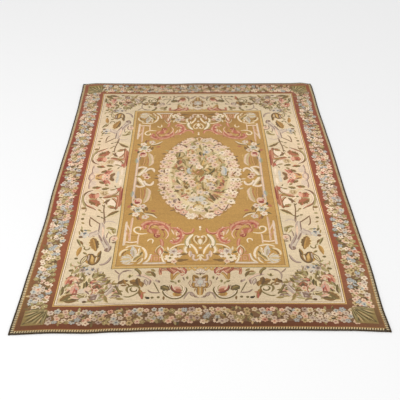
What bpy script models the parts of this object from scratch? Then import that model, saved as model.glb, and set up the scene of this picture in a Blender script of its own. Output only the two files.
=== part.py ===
"""A flat-woven wool rug with a bound edge, lying on a level surface.

The rug is one woven cloth, and four lengths of overcast binding are sewn round its edge. The design frame
is a true rectangle, with X across the width, Y along the length and Z up. Two rules then give the rug its
real lie: its edges wander a few millimetres in plan, and soft ridges lift it from the surface here and there.
"""

import math
from collections import namedtuple

import bmesh
import bpy

# Driving sizes, in metres
RUG_WIDTH = 1.83
RUG_LENGTH = 2.74
CLOTH_THICKNESS = 0.005
BINDING_WIDTH = 0.009
BINDING_HEIGHT = 0.007
SEAM_GAP = 0.0003

# Spacing of the faces that the cloth is made of
RIM_LINES = (0.0, 0.014, 0.030, 0.047, 0.068, 0.100)
BODY_SPACING = 0.075
BINDING_ARC_POINTS = 5

# How far each edge stands outside the true rectangle: place along the side from -1 to 1, then metres
Wander = namedtuple("Wander", "place offset")
LEFT_EDGE = [
    Wander(-1.00, 0.009), Wander(-0.76, 0.002), Wander(-0.55, -0.003), Wander(-0.33, -0.009),
    Wander(-0.11, -0.003), Wander(0.11, -0.005), Wander(0.36, -0.010), Wander(0.66, -0.009),
    Wander(0.88, -0.003), Wander(1.00, 0.001),
]
RIGHT_EDGE = [
    Wander(-1.00, 0.002), Wander(-0.88, -0.004), Wander(-0.66, 0.002), Wander(-0.33, -0.004),
    Wander(-0.11, -0.008), Wander(0.22, -0.007), Wander(0.44, -0.011), Wander(0.66, -0.015),
    Wander(0.88, -0.011), Wander(1.00, -0.016),
]
FRONT_EDGE = [
    Wander(-1.00, 0.012), Wander(-0.77, 0.003), Wander(-0.60, 0.006), Wander(-0.44, -0.002),
    Wander(-0.22, -0.008), Wander(0.00, -0.010), Wander(0.44, -0.008), Wander(0.77, -0.004),
    Wander(1.00, 0.006),
]
BACK_EDGE = [
    Wander(-1.00, -0.008), Wander(-0.87, 0.006), Wander(-0.65, 0.004), Wander(-0.45, 0.000),
    Wander(-0.22, -0.004), Wander(0.00, 0.003), Wander(0.33, -0.002), Wander(0.66, 0.000),
    Wander(0.90, 0.000), Wander(1.00, -0.012),
]

# Soft ridges: crest's middle, direction in degrees from X, half length and half width, and height
Ridge = namedtuple("Ridge", "x y turn half_length half_width height")
RIDGES = [
    Ridge(-0.66, -1.318, 0.0, 0.36, 0.042, 0.0060),
    Ridge(-0.05, -1.316, 0.0, 0.34, 0.038, 0.0030),
    Ridge(0.44, -1.318, 0.0, 0.36, 0.040, 0.0050),
    Ridge(0.00, 1.322, 0.0, 1.60, 0.046, 0.0075),
    Ridge(-0.76, 1.330, -4.0, 0.24, 0.060, 0.0060),
    Ridge(0.87, 1.330, -38.0, 0.16, 0.060, 0.0050),
    Ridge(-0.875, -0.45, 90.0, 0.42, 0.050, 0.0030),
    Ridge(-0.880, 0.52, 90.0, 0.38, 0.050, 0.0025),
    Ridge(0.880, 0.62, 90.0, 0.50, 0.055, 0.0040),
    Ridge(0.875, -0.62, 90.0, 0.36, 0.045, 0.0025),
    Ridge(-0.24, 0.63, 24.0, 0.30, 0.070, 0.0025),
    Ridge(0.25, 0.61, -26.0, 0.30, 0.070, 0.0025),
    Ridge(-0.36, -0.52, 52.0, 0.28, 0.070, 0.0020),
    Ridge(0.37, -0.50, -50.0, 0.28, 0.070, 0.0020),
]

# Brings the middle of the finished outline to the origin
CENTRE_X = (max(row.offset for row in LEFT_EDGE) - max(row.offset for row in RIGHT_EDGE)) / 2
CENTRE_Y = (max(row.offset for row in FRONT_EDGE) - max(row.offset for row in BACK_EDGE)) / 2

WOOL_COLOUR = (0.60, 0.45, 0.31, 1.0)
BINDING_COLOUR = (0.085, 0.070, 0.035, 1.0)
WOOL_ROUGHNESS = 0.92


def smooth(t):
    """Eases a share from 0 to 1, level at both ends."""
    return t * t * (3.0 - 2.0 * t)


def wander(edge, place):
    """Reads an edge's offset at a place from -1 to 1, eased between the table's rows."""
    place = max(-1.0, min(1.0, place))
    for here, after in zip(edge, edge[1:]):
        if place <= after.place:
            share = (place - here.place) / (after.place - here.place)
            return here.offset + (after.offset - here.offset) * smooth(share)
    return edge[-1].offset


def lift(x, y):
    """Height of the cloth's underside over the surface at a point of the design frame."""
    total = 0.0
    for ridge in RIDGES:
        turn = math.radians(ridge.turn)
        dx = x - ridge.x
        dy = y - ridge.y
        along = (dx * math.cos(turn) + dy * math.sin(turn)) / ridge.half_length
        across = (dy * math.cos(turn) - dx * math.sin(turn)) / ridge.half_width
        if abs(along) < 1.0 and abs(across) < 1.0:
            total += ridge.height * math.cos(along * math.pi / 2) ** 2 * math.cos(across * math.pi / 2) ** 2
    return total


def lie(x, y, z):
    """Takes a point of the design frame to where the lying rug has it."""
    across = x / (RUG_WIDTH / 2)
    along = y / (RUG_LENGTH / 2)
    to_right = smooth(max(0.0, min(1.0, (across + 1) / 2)))
    to_back = smooth(max(0.0, min(1.0, (along + 1) / 2)))
    shift_x = to_right * wander(RIGHT_EDGE, along) - (1 - to_right) * wander(LEFT_EDGE, along)
    shift_y = to_back * wander(BACK_EDGE, across) - (1 - to_back) * wander(FRONT_EDGE, across)
    return x + shift_x + CENTRE_X, y + shift_y + CENTRE_Y, z + lift(x, y)


def face_lines(half):
    """Places of the cloth's face lines across a side of the given half size: close at the rim, wider inside."""
    inner = half - RIM_LINES[-1]
    count = 2 * round(inner / BODY_SPACING) + 1
    body = [-inner + 2 * inner * k / count for k in range(count + 1)]
    rim = [-half + step for step in RIM_LINES[:-1]]
    return rim + body + [-place for place in reversed(rim)]


def wool(name, colour):
    """A matt yarn material."""
    material = bpy.data.materials.new(name)
    material.use_nodes = True
    shader = material.node_tree.nodes["Principled BSDF"]
    shader.inputs["Base Color"].default_value = colour
    shader.inputs["Roughness"].default_value = WOOL_ROUGHNESS
    shader.inputs["Metallic"].default_value = 0.0
    return material


def add_object(name, bm, material):
    """Turns a closed bmesh into an object of the scene."""
    bmesh.ops.recalc_face_normals(bm, faces=bm.faces[:])
    mesh = bpy.data.meshes.new(name)
    bm.to_mesh(mesh)
    bm.free()
    mesh.materials.append(material)
    piece = bpy.data.objects.new(name, mesh)
    bpy.context.scene.collection.objects.link(piece)
    return piece


def cloth(name, lines_x, lines_y, material):
    """The woven cloth: a grid of faces laid on the surface and raised to its thickness."""
    bm = bmesh.new()
    bmesh.ops.create_grid(bm, x_segments=len(lines_x) - 1, y_segments=len(lines_y) - 1, size=1.0)
    for vert in bm.verts:
        column = round((vert.co.x + 1) / 2 * (len(lines_x) - 1))
        row = round((vert.co.y + 1) / 2 * (len(lines_y) - 1))
        vert.co = lie(lines_x[column], lines_y[row], 0.0)
    raised = bmesh.ops.extrude_face_region(bm, geom=bm.faces[:], use_keep_orig=True)
    top = [item for item in raised["geom"] if isinstance(item, bmesh.types.BMVert)]
    bmesh.ops.translate(bm, verts=top, vec=(0.0, 0.0, CLOTH_THICKNESS))
    return add_object(name, bm, material)


def binding_section():
    """Half-round section of the binding as (distance out from the cloth, height), from the seam round."""
    middle = BINDING_WIDTH * 0.45
    reach = BINDING_WIDTH - middle
    points = [(0.0, BINDING_HEIGHT * 0.80), (0.0, BINDING_HEIGHT * 0.12)]
    for step in range(BINDING_ARC_POINTS):
        angle = math.radians(-90.0 + 180.0 * step / (BINDING_ARC_POINTS - 1))
        out = middle + reach * math.cos(angle)
        points.append((out, BINDING_HEIGHT / 2 * (1 + math.sin(angle))))
    return points


def binding(name, start, along, outward, stations, material):
    """A length of binding beside one edge: its section swept from station to station."""
    bm = bmesh.new()
    rings = []
    for place in stations:
        ring = []
        for out, height in binding_section():
            x = start[0] + along[0] * place + outward[0] * out
            y = start[1] + along[1] * place + outward[1] * out
            ring.append(bm.verts.new(lie(x, y, height)))
        rings.append(ring)
    for ring, following in zip(rings, rings[1:]):
        for k in range(len(ring)):
            after = (k + 1) % len(ring)
            bm.faces.new((ring[k], ring[after], following[after], following[k]))
    bm.faces.new(rings[0])
    bm.faces.new(list(reversed(rings[-1])))
    return add_object(name, bm, material)


def clear_scene():
    """Removes whatever the scene holds."""
    for item in list(bpy.data.objects):
        bpy.data.objects.remove(item, do_unlink=True)


def build():
    """Makes the cloth and its four lengths of binding."""
    clear_scene()
    half_x = RUG_WIDTH / 2 - BINDING_WIDTH
    half_y = RUG_LENGTH / 2 - BINDING_WIDTH
    lines_x = face_lines(half_x - SEAM_GAP)
    lines_y = face_lines(half_y - SEAM_GAP)
    cloth("rug", lines_x, lines_y, wool("rug_wool", WOOL_COLOUR))

    tip = RUG_LENGTH / 2
    side_stations = [-tip, -tip + BINDING_WIDTH / 2] + lines_y + [tip - BINDING_WIDTH / 2, tip]
    edge_wool = wool("binding_wool", BINDING_COLOUR)
    binding("binding_left", (-half_x, 0.0), (0, 1), (-1, 0), side_stations, edge_wool)
    binding("binding_right", (half_x, 0.0), (0, 1), (1, 0), side_stations, edge_wool)
    binding("binding_front", (0.0, -half_y), (1, 0), (0, -1), lines_x, edge_wool)
    binding("binding_back", (0.0, half_y), (1, 0), (0, 1), lines_x, edge_wool)


build()
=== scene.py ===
"""Looks of a flat-woven wool rug with a bound edge, lying on a pale floor.

The rug's pattern is drawn in plan, in millimetres, on a true rectangle: X runs across the width and Y along the
length. Each motif is a coloured patch or a few of them, laid over the ones before it. The drawing is merged
into one sheet of faces, coloured yarn by yarn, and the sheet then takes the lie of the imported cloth.
"""

import logging
import math
import random
from collections import Counter
from collections.abc import Iterator
from contextlib import contextmanager
from dataclasses import dataclass, field, replace
from enum import Enum
from functools import cached_property
from typing import NamedTuple, Protocol

import bpy
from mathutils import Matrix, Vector
from mathutils.geometry import delaunay_2d_cdt


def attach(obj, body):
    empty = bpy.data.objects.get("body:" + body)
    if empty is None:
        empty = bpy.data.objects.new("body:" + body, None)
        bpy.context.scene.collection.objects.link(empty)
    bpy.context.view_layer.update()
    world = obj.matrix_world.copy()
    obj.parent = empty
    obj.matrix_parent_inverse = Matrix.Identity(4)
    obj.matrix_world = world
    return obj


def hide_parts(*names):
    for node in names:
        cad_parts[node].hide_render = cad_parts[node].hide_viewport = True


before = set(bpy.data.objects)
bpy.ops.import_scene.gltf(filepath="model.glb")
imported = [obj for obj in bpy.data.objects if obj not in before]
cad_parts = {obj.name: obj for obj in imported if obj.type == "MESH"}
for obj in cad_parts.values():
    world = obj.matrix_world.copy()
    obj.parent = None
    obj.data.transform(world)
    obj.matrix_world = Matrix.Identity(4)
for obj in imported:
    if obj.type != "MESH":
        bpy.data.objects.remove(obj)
log = logging.getLogger("rug")

# The rug's sizes in metres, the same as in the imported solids
RUG_WIDTH = 1.83
RUG_LENGTH = 2.74
CLOTH_THICKNESS = 0.005
BINDING_WIDTH = 0.009
BINDING_HEIGHT = 0.007
SEAM_GAP = 0.0003

# The pattern is drawn in millimetres
MM = 0.001

# The display's transfer curve
FULL_CHANNEL = 255
CURVE_OFFSET = 0.055
CURVE_POWER = 2.4

# Lengths in metres and twice an area in square metres below which points and patches count as one or none
SAME_PLACE = 1e-5
CUT_TOLERANCE = 1e-6
NO_AREA = 1e-8

Point = tuple[float, float]


class Dye(Enum):
    """The yarn colours, as display red, green and blue from 0 to 255."""

    IVORY = (236, 214, 184)
    CREAM = (221, 199, 163)
    SAND = (200, 172, 122)
    GOLD = (184, 140, 72)
    HONEY = (206, 166, 98)
    OCHRE = (162, 120, 60)
    KHAKI = (150, 126, 72)
    BRONZE = (130, 96, 50)
    OLIVE = (116, 98, 54)
    MOSS = (90, 76, 42)
    SAGE = (166, 150, 100)
    PEAT = (60, 45, 20)
    UMBER = (104, 78, 46)
    BARK = (126, 94, 60)
    SHELL = (226, 192, 160)
    PEARL = (212, 192, 166)
    BLUSH = (214, 162, 134)
    ROSE = (182, 100, 80)
    MADDER = (142, 66, 50)
    CORAL = (171, 106, 72)
    SALMON = (206, 150, 114)
    TERRACOTTA = (146, 76, 46)
    MAUVE = (184, 160, 142)
    PLUM = (140, 112, 94)
    MIST = (198, 190, 172)
    SKY = (162, 163, 158)
    STEEL = (110, 110, 106)
    LEMON = (222, 198, 152)

    @property
    def linear(self) -> tuple[float, float, float]:
        """The colour as scene-linear red, green and blue."""
        return tuple(((c / FULL_CHANNEL + CURVE_OFFSET) / (1 + CURVE_OFFSET)) ** CURVE_POWER for c in self.value)


# The yarns by their own names, for the pattern's tables
(IVORY, CREAM, SAND, GOLD, HONEY, OCHRE, KHAKI, BRONZE, OLIVE, MOSS, SAGE, PEAT, UMBER, BARK, SHELL, PEARL, BLUSH,
 ROSE, MADDER, CORAL, SALMON, TERRACOTTA, MAUVE, PLUM, MIST, SKY, STEEL, LEMON) = Dye


class Mirror(Enum):
    """Where a group of motifs is repeated: the sides over which it is turned, as signs of X and Y."""

    SIDES = ((1, 1), (-1, 1))
    ENDS = ((1, 1), (1, -1))
    FOUR = ((1, 1), (-1, 1), (1, -1), (-1, -1))


@dataclass(frozen=True)
class Patch:
    """One flat patch of colour: its outline in plan, its yarn and how light the yarn came out."""

    outline: tuple[Point, ...]
    dye: Dye
    tone: float = 1.0

    def mirrored(self, sign_x: int, sign_y: int) -> "Patch":
        """The same patch turned over the rug's middle lines."""
        return replace(self, outline=tuple((x * sign_x, y * sign_y) for x, y in self.outline))


class Motif(Protocol):
    """Anything that draws itself as patches, the lowest first."""

    def patches(self) -> list[Patch]:
        """The motif's patches."""


def turned(origin: Point, turn: float, along: float, across: float) -> Point:
    """Places a point in a motif's own directions.

    Args:
        origin: The motif's own zero point.
        turn: The motif's direction, in degrees from X.
        along: Distance in that direction.
        across: Distance to the left of it.

    Returns:
        The point in plan.
    """
    c, s = math.cos(math.radians(turn)), math.sin(math.radians(turn))
    return origin[0] + along * c - across * s, origin[1] + along * s + across * c


def smooth(t: float) -> float:
    """Eases a share from 0 to 1, level at both ends."""
    t = max(0.0, min(1.0, t))
    return t * t * (3.0 - 2.0 * t)


def curve_through(points: tuple[Point, ...], steps: int) -> list[Point]:
    """Draws a smooth curve through a few points.

    Args:
        points: The points, in order.
        steps: Straight pieces between two of them.

    Returns:
        Points along the curve, ends included.
    """
    ghosts = [points[0], *points, points[-1]]
    made = []
    for k in range(len(points) - 1):
        a, b, c, d = ghosts[k:k + 4]
        for step in range(steps):
            t = step / steps
            made.append(tuple(
                0.5 * (2 * b[i] + (c[i] - a[i]) * t + (2 * a[i] - 5 * b[i] + 4 * c[i] - d[i]) * t * t
                       + (3 * b[i] - a[i] - 3 * c[i] + d[i]) * t ** 3)
                for i in (0, 1)))
    return [*made, points[-1]]


@dataclass(frozen=True)
class Spot:
    """A round or oval spot."""

    x: float
    y: float
    radius: float
    dye: Dye
    stretch: float = 1.0
    turn: float = 0.0
    sides: int = 8

    def patches(self) -> list[Patch]:
        """The spot as one patch."""
        ring = []
        for k in range(self.sides):
            a = math.tau * k / self.sides
            along, across = self.radius * self.stretch * math.cos(a), self.radius * math.sin(a)
            ring.append(turned((self.x, self.y), self.turn, along, across))
        return [Patch(tuple(ring), self.dye)]


# Shape of a leaf: points along a plain edge and along each lobe, where it is widest and how full it is, the lobes'
# depth and first angle, the blade inside a rim, and the vein's half width and ends
LEAF_STATIONS = 5
LOBE_STATIONS = 4
LEAF_LEAN = 0.85
LEAF_FULLNESS = 0.8
LOBE_DEPTH = 0.14
LOBE_START = 2.0
BLADE_IN_RIM = 0.66
BLADE_SHORTEST = 0.4
VEIN_SLIVER = 0.07
VEIN_START = 0.08
VEIN_END = 0.88


@dataclass(frozen=True)
class Leaf:
    """A pointed leaf from its stalk end, which may bend, be lobed, and have a half, a rim or a vein of other yarn."""

    x: float
    y: float
    turn: float
    length: float
    width: float
    dye: Dye
    side: Dye | None = None
    bend: float = 0.0
    lobes: int = 0
    rim: Dye | None = None
    vein: Dye | None = None

    def spine(self, share: float) -> tuple[Point, float]:
        """The place and direction of the leaf's middle line at a share of its length."""
        half = self.turn + self.bend * share / 2
        return turned((self.x, self.y), half, self.length * share, 0.0), self.turn + self.bend * share

    def edges(self, scale: float) -> tuple[list[Point], list[Point]]:
        """The leaf's two edges from its stalk end to its tip, drawn in by a scale."""
        stations = LOBE_STATIONS * self.lobes or LEAF_STATIONS
        reach = BLADE_SHORTEST + (1 - BLADE_SHORTEST) * scale
        ends = [self.spine(0.5 + side * reach / 2)[0] for side in (-1, 1)]
        left, right = [ends[0]], [ends[0]]
        for k in range(1, stations):
            share = k / stations
            place, turn = self.spine(0.5 + (share - 0.5) * reach)
            half = self.width / 2 * scale * math.sin(math.pi * share ** LEAF_LEAN) ** LEAF_FULLNESS
            if self.lobes:
                half *= 1 - LOBE_DEPTH + LOBE_DEPTH * math.cos(math.tau * self.lobes * share + LOBE_START)
            left.append(turned(place, turn, 0.0, half))
            right.append(turned(place, turn, 0.0, -half))
        return left + ends[1:], right + ends[1:]

    def patches(self) -> list[Patch]:
        """The rim, the blade, its side and the vein."""
        made = []
        for scale, dye in ((1.0, self.rim), (BLADE_IN_RIM if self.rim else 1.0, self.dye)):
            if dye:
                left, right = self.edges(scale)
                made.append(Patch((*right, *reversed(left[1:-1])), dye))
        middle = [self.spine(share)[0] for share in (0.25, 0.5, 0.75)]
        if self.side:
            made.append(Patch((left[0], *middle, *reversed(left[1:])), self.side))
        if self.vein:
            sliver = self.width * VEIN_SLIVER
            sides = [turned(middle[1], self.spine(0.5)[1], 0.0, offset) for offset in (-sliver, sliver)]
            made.append(Patch((self.spine(VEIN_START)[0], sides[0], self.spine(VEIN_END)[0], sides[1]), self.vein))
        return made


# A ribbon reaches its full width within a share of 1 / RIBBON_TAPER of its length from each end
RIBBON_TAPER = 4


@dataclass(frozen=True)
class Ribbon:
    """A band of even or tapering width along a smooth line: a stem, a scroll or an arc.

    The light is a stripe of other yarn inside it, which leans to the left of the line with a lean over 0.
    """

    path: tuple[Point, ...]
    width: float
    dye: Dye
    light: Dye | None = None
    lean: float = 0.0
    start: float = 0.35
    end: float = 0.35
    steps: int = 3
    share: float = 0.5

    def stripe(self, share_of_width: float, lean: float, dye: Dye) -> list[Patch]:
        """A stripe of the ribbon, as a row of three-cornered patches, which may cross itself."""
        line = curve_through(self.path, self.steps)
        left, right = [], []
        for k, place in enumerate(line):
            before, after = line[max(0, k - 1)], line[min(len(line) - 1, k + 1)]
            turn = math.degrees(math.atan2(after[1] - before[1], after[0] - before[0]))
            along = k / (len(line) - 1)
            half = self.width / 2 * min(1.0, self.start + along * RIBBON_TAPER, self.end + (1 - along) * RIBBON_TAPER)
            left.append(turned(place, turn, 0.0, half * (share_of_width + lean)))
            right.append(turned(place, turn, 0.0, half * (lean - share_of_width)))
        made = []
        for k in range(len(line) - 1):
            made += [Patch((right[k], right[k + 1], left[k + 1]), dye), Patch((right[k], left[k + 1], left[k]), dye)]
        return made

    def patches(self) -> list[Patch]:
        """The band and the lighter stripe in it."""
        made = self.stripe(1.0, 0.0, self.dye)
        return made + self.stripe(self.share, self.lean, self.light) if self.light else made


# Shape of a frond: points between two of its line's, and its lobes' bend in degrees and their length at its ends
FROND_STEPS = 6
FROND_BEND = 25
FROND_END_LOBE = 0.62


@dataclass(frozen=True)
class Frond:
    """An acanthus: a smooth line with overlapping lobes on one side of it or on both, and yarns by turns."""

    path: tuple[Point, ...]
    reach: float
    lobes: int
    dyes: tuple[Dye, ...]
    slant: float = 55.0
    sides: tuple[int, ...] = (1, -1)
    plump: float = 0.55

    def patches(self) -> list[Patch]:
        """The lobes from the line's start to its end, the middle ones the longest."""
        line = curve_through(self.path, FROND_STEPS)
        made = []
        for k in range(self.lobes):
            at = min(len(line) - 2, round((k + 0.5) / self.lobes * (len(line) - 1)))
            here, after = line[at], line[at + 1]
            turn = math.degrees(math.atan2(after[1] - here[1], after[0] - here[0]))
            swell = math.sin(math.pi * (k + 0.5) / self.lobes)
            length = self.reach * (FROND_END_LOBE + (1 - FROND_END_LOBE) * swell)
            dye = self.dyes[k % len(self.dyes)]
            for side in self.sides:
                leaf = Leaf(*here, turn + side * self.slant, length, length * self.plump, dye, bend=side * FROND_BEND)
                made += leaf.patches()
        return made


# Shape of a blossom, as shares of its radius: the notch between petals, the notch of the shade and the heart
PETAL_NOTCH = 0.66
PETAL_SPREAD = 0.24
SHADE_NOTCH = 0.32
HEART_RADIUS = 0.25


@dataclass(frozen=True)
class Blossom:
    """An open flower: petals round a heart, with a darker yarn between them."""

    x: float
    y: float
    radius: float
    petal: Dye
    shade: Dye
    heart: Dye
    petals: int = 5
    turn: float = 0.0

    def petalled(self, outer: float, notch: float, spread: float) -> tuple[Point, ...]:
        """An outline with one lobe for each petal.

        Args:
            outer: Reach of the petals, as a share of the radius.
            notch: Reach between two petals.
            spread: Half the petal's width, as a share of the angle between petals, or 0 for a pointed petal.

        Returns:
            The outline's points.
        """
        ring = []
        step = 360.0 / self.petals
        tips = ((notch, -0.5), (outer, -spread), (outer, spread)) if spread else ((notch, -0.5), (outer, 0.0))
        for k in range(self.petals):
            for reach, offset in tips:
                ring.append(turned((self.x, self.y), self.turn + (k + offset) * step, self.radius * reach, 0.0))
        return tuple(ring)

    def patches(self) -> list[Patch]:
        """The petals, the shade inside them and the heart."""
        heart = Spot(self.x, self.y, self.radius * HEART_RADIUS, self.heart, turn=self.turn, sides=5)
        return [Patch(self.petalled(1.0, PETAL_NOTCH, PETAL_SPREAD), self.petal),
                Patch(self.petalled(PETAL_NOTCH, SHADE_NOTCH, 0.0), self.shade), *heart.patches()]


# Shape of a rose: points round it, its scallops and their mean reach and depth, and its three curls, which stand
# at a share of its radius, turned by the first one's angle, with points at angles along each
ROSE_POINTS = 16
ROSE_SCALLOPS = 4
ROSE_REACH = 0.90
ROSE_DEPTH = 0.12
CURL_TURN = 30.0
CURL_REACH = 0.56
CURL_ANGLES = (-55, -20, 20, 55)
CURL_WIDTH = 0.30
ROSE_HEART = 0.26


@dataclass(frozen=True)
class Rose:
    """A full flower seen from above: curled petals in three yarns."""

    x: float
    y: float
    radius: float
    outer: Dye
    middle: Dye
    inner: Dye
    turn: float = 0.0

    def patches(self) -> list[Patch]:
        """The scalloped outer petals, the curled inner ones and the heart."""
        ring = []
        for k in range(ROSE_POINTS):
            a = math.tau * k / ROSE_POINTS
            reach = self.radius * (ROSE_REACH + ROSE_DEPTH * math.cos(ROSE_SCALLOPS * a))
            ring.append(turned((self.x, self.y), self.turn, reach * math.cos(a), reach * math.sin(a)))
        made = [Patch(tuple(ring), self.outer)]
        for k, dye in ((0, self.middle), (1, self.middle), (2, self.inner)):
            turn = self.turn + CURL_TURN + 120.0 * k
            arc = tuple(turned((self.x, self.y), turn + step, self.radius * CURL_REACH, 0.0) for step in CURL_ANGLES)
            made += Ribbon(arc, self.radius * CURL_WIDTH, dye, steps=2).patches()
        return made + Spot(self.x, self.y, self.radius * ROSE_HEART, self.inner, sides=6).patches()


@dataclass(frozen=True)
class Fan:
    """Blades that spread from one point, such as a shell or an acanthus."""

    x: float
    y: float
    turn: float
    spread: float
    length: float
    width: float
    blades: int
    dyes: tuple[Dye, ...]
    shorter: float = 0.22

    def patches(self) -> list[Patch]:
        """The blades, the outer ones first and a share shorter."""
        made = []
        order = sorted(range(self.blades), key=lambda k: -abs(k - (self.blades - 1) / 2))
        for k in order:
            side = 2.0 * k / (self.blades - 1) - 1.0
            dye = self.dyes[k % len(self.dyes)]
            reach = self.length * (1.0 - self.shorter * side * side)
            made += Leaf(self.x, self.y, self.turn + side * self.spread / 2, reach, self.width, dye).patches()
        return made


@dataclass
class Drawing:
    """The rug's pattern in plan, in millimetres: patches laid one over another."""

    patches: list[Patch] = field(default_factory=list)
    dice: random.Random = field(default_factory=lambda: random.Random(3))
    unevenness: float = 0.06

    @contextmanager
    def repeated(self, mirror: Mirror) -> Iterator[None]:
        """Repeats whatever is drawn inside over the rug's middle lines."""
        first = len(self.patches)
        yield
        drawn = self.patches[first:]
        for signs in mirror.value[1:]:
            self.patches += [patch.mirrored(*signs) for patch in drawn]

    def draw(self, *motifs: Motif) -> None:
        """Lays motifs over what is there."""
        for motif in motifs:
            tone = 1.0 + self.dice.uniform(-self.unevenness, self.unevenness)
            self.patches += [replace(patch, tone=tone) for patch in motif.patches()]

    def rectangle(self, half_x: float, half_y: float, dye: Dye) -> None:
        """Lays a rectangle round the rug's middle."""
        corners = ((-half_x, -half_y), (half_x, -half_y), (half_x, half_y), (-half_x, half_y))
        self.patches.append(Patch(corners, dye))


class Inset(NamedTuple):
    """Half sizes of a rectangle round the rug's middle, in millimetres."""

    x: float
    y: float


@dataclass
class Bands:
    """The straight bands round the rug, from the edge inwards, and the rope-striped guard."""

    guard: Inset = Inset(907, 1362)
    guard_line: Inset = Inset(893, 1348)
    outer_band: Inset = Inset(889, 1344)
    garland: Inset = Inset(866, 1317)
    inner_band: Inset = Inset(769, 1216)
    lines: tuple[tuple[Inset, Dye], ...] = (
        (Inset(739, 1187), HONEY), (Inset(733, 1181), UMBER), (Inset(730, 1178), IVORY),
        (Inset(723, 1171), BARK), (Inset(720.5, 1168.5), CREAM))
    field_lines: tuple[tuple[Inset, Dye], ...] = (
        (Inset(478, 904), OLIVE), (Inset(474, 900), HONEY), (Inset(461, 887), SAND),
        (Inset(458, 884), OCHRE), (Inset(453, 879), GOLD))
    rope_pitch: float = 12.5
    rope_share: float = 0.60
    rope_start: float = 0.2
    rope_slant: float = 3.0
    overlap: float = 6.0

    def draw(self, drawing: Drawing) -> None:
        """Lays the bands, the outermost first."""
        drawing.rectangle(RUG_WIDTH / 2 / MM, RUG_LENGTH / 2 / MM, MOSS)
        drawing.rectangle(*self.guard, PEAT)
        self.draw_rope(drawing)
        drawing.rectangle(*self.guard_line, OCHRE)
        drawing.rectangle(*self.outer_band, TERRACOTTA)
        drawing.rectangle(self.garland.x - self.overlap, self.garland.y - self.overlap, BARK)
        drawing.rectangle(self.inner_band.x + self.overlap, self.inner_band.y + self.overlap, TERRACOTTA)
        for inset, dye in self.lines + self.field_lines:
            drawing.rectangle(*inset, dye)

    def draw_rope(self, drawing: Drawing) -> None:
        """Lays the slanted pale stripes of the guard, which look like a two-coloured rope."""
        depth = self.guard.x - self.guard_line.x
        stripe = self.rope_pitch * self.rope_share
        for along_x in (True, False):
            half = self.guard_line.x if along_x else self.guard.y
            edge = -self.guard.y if along_x else -self.guard.x
            count = int(2 * half / self.rope_pitch)
            for k in range(count):
                start = -half + (k + self.rope_start) * self.rope_pitch
                corners = [(start, 0.0), (start + stripe, 0.0), (start + stripe + self.rope_slant, depth),
                           (start + self.rope_slant, depth)]
                for side in (1, -1):
                    outline = [(min(place, half), side * (edge + inward)) for place, inward in corners]
                    drawing.patches.append(Patch(tuple(outline if along_x else [(y, x) for x, y in outline]), LEMON))


class Bloom(NamedTuple):
    """A pairing of yarns for one of the garland's flowers."""

    petal: Dye
    shade: Dye
    heart: Dye


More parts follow.
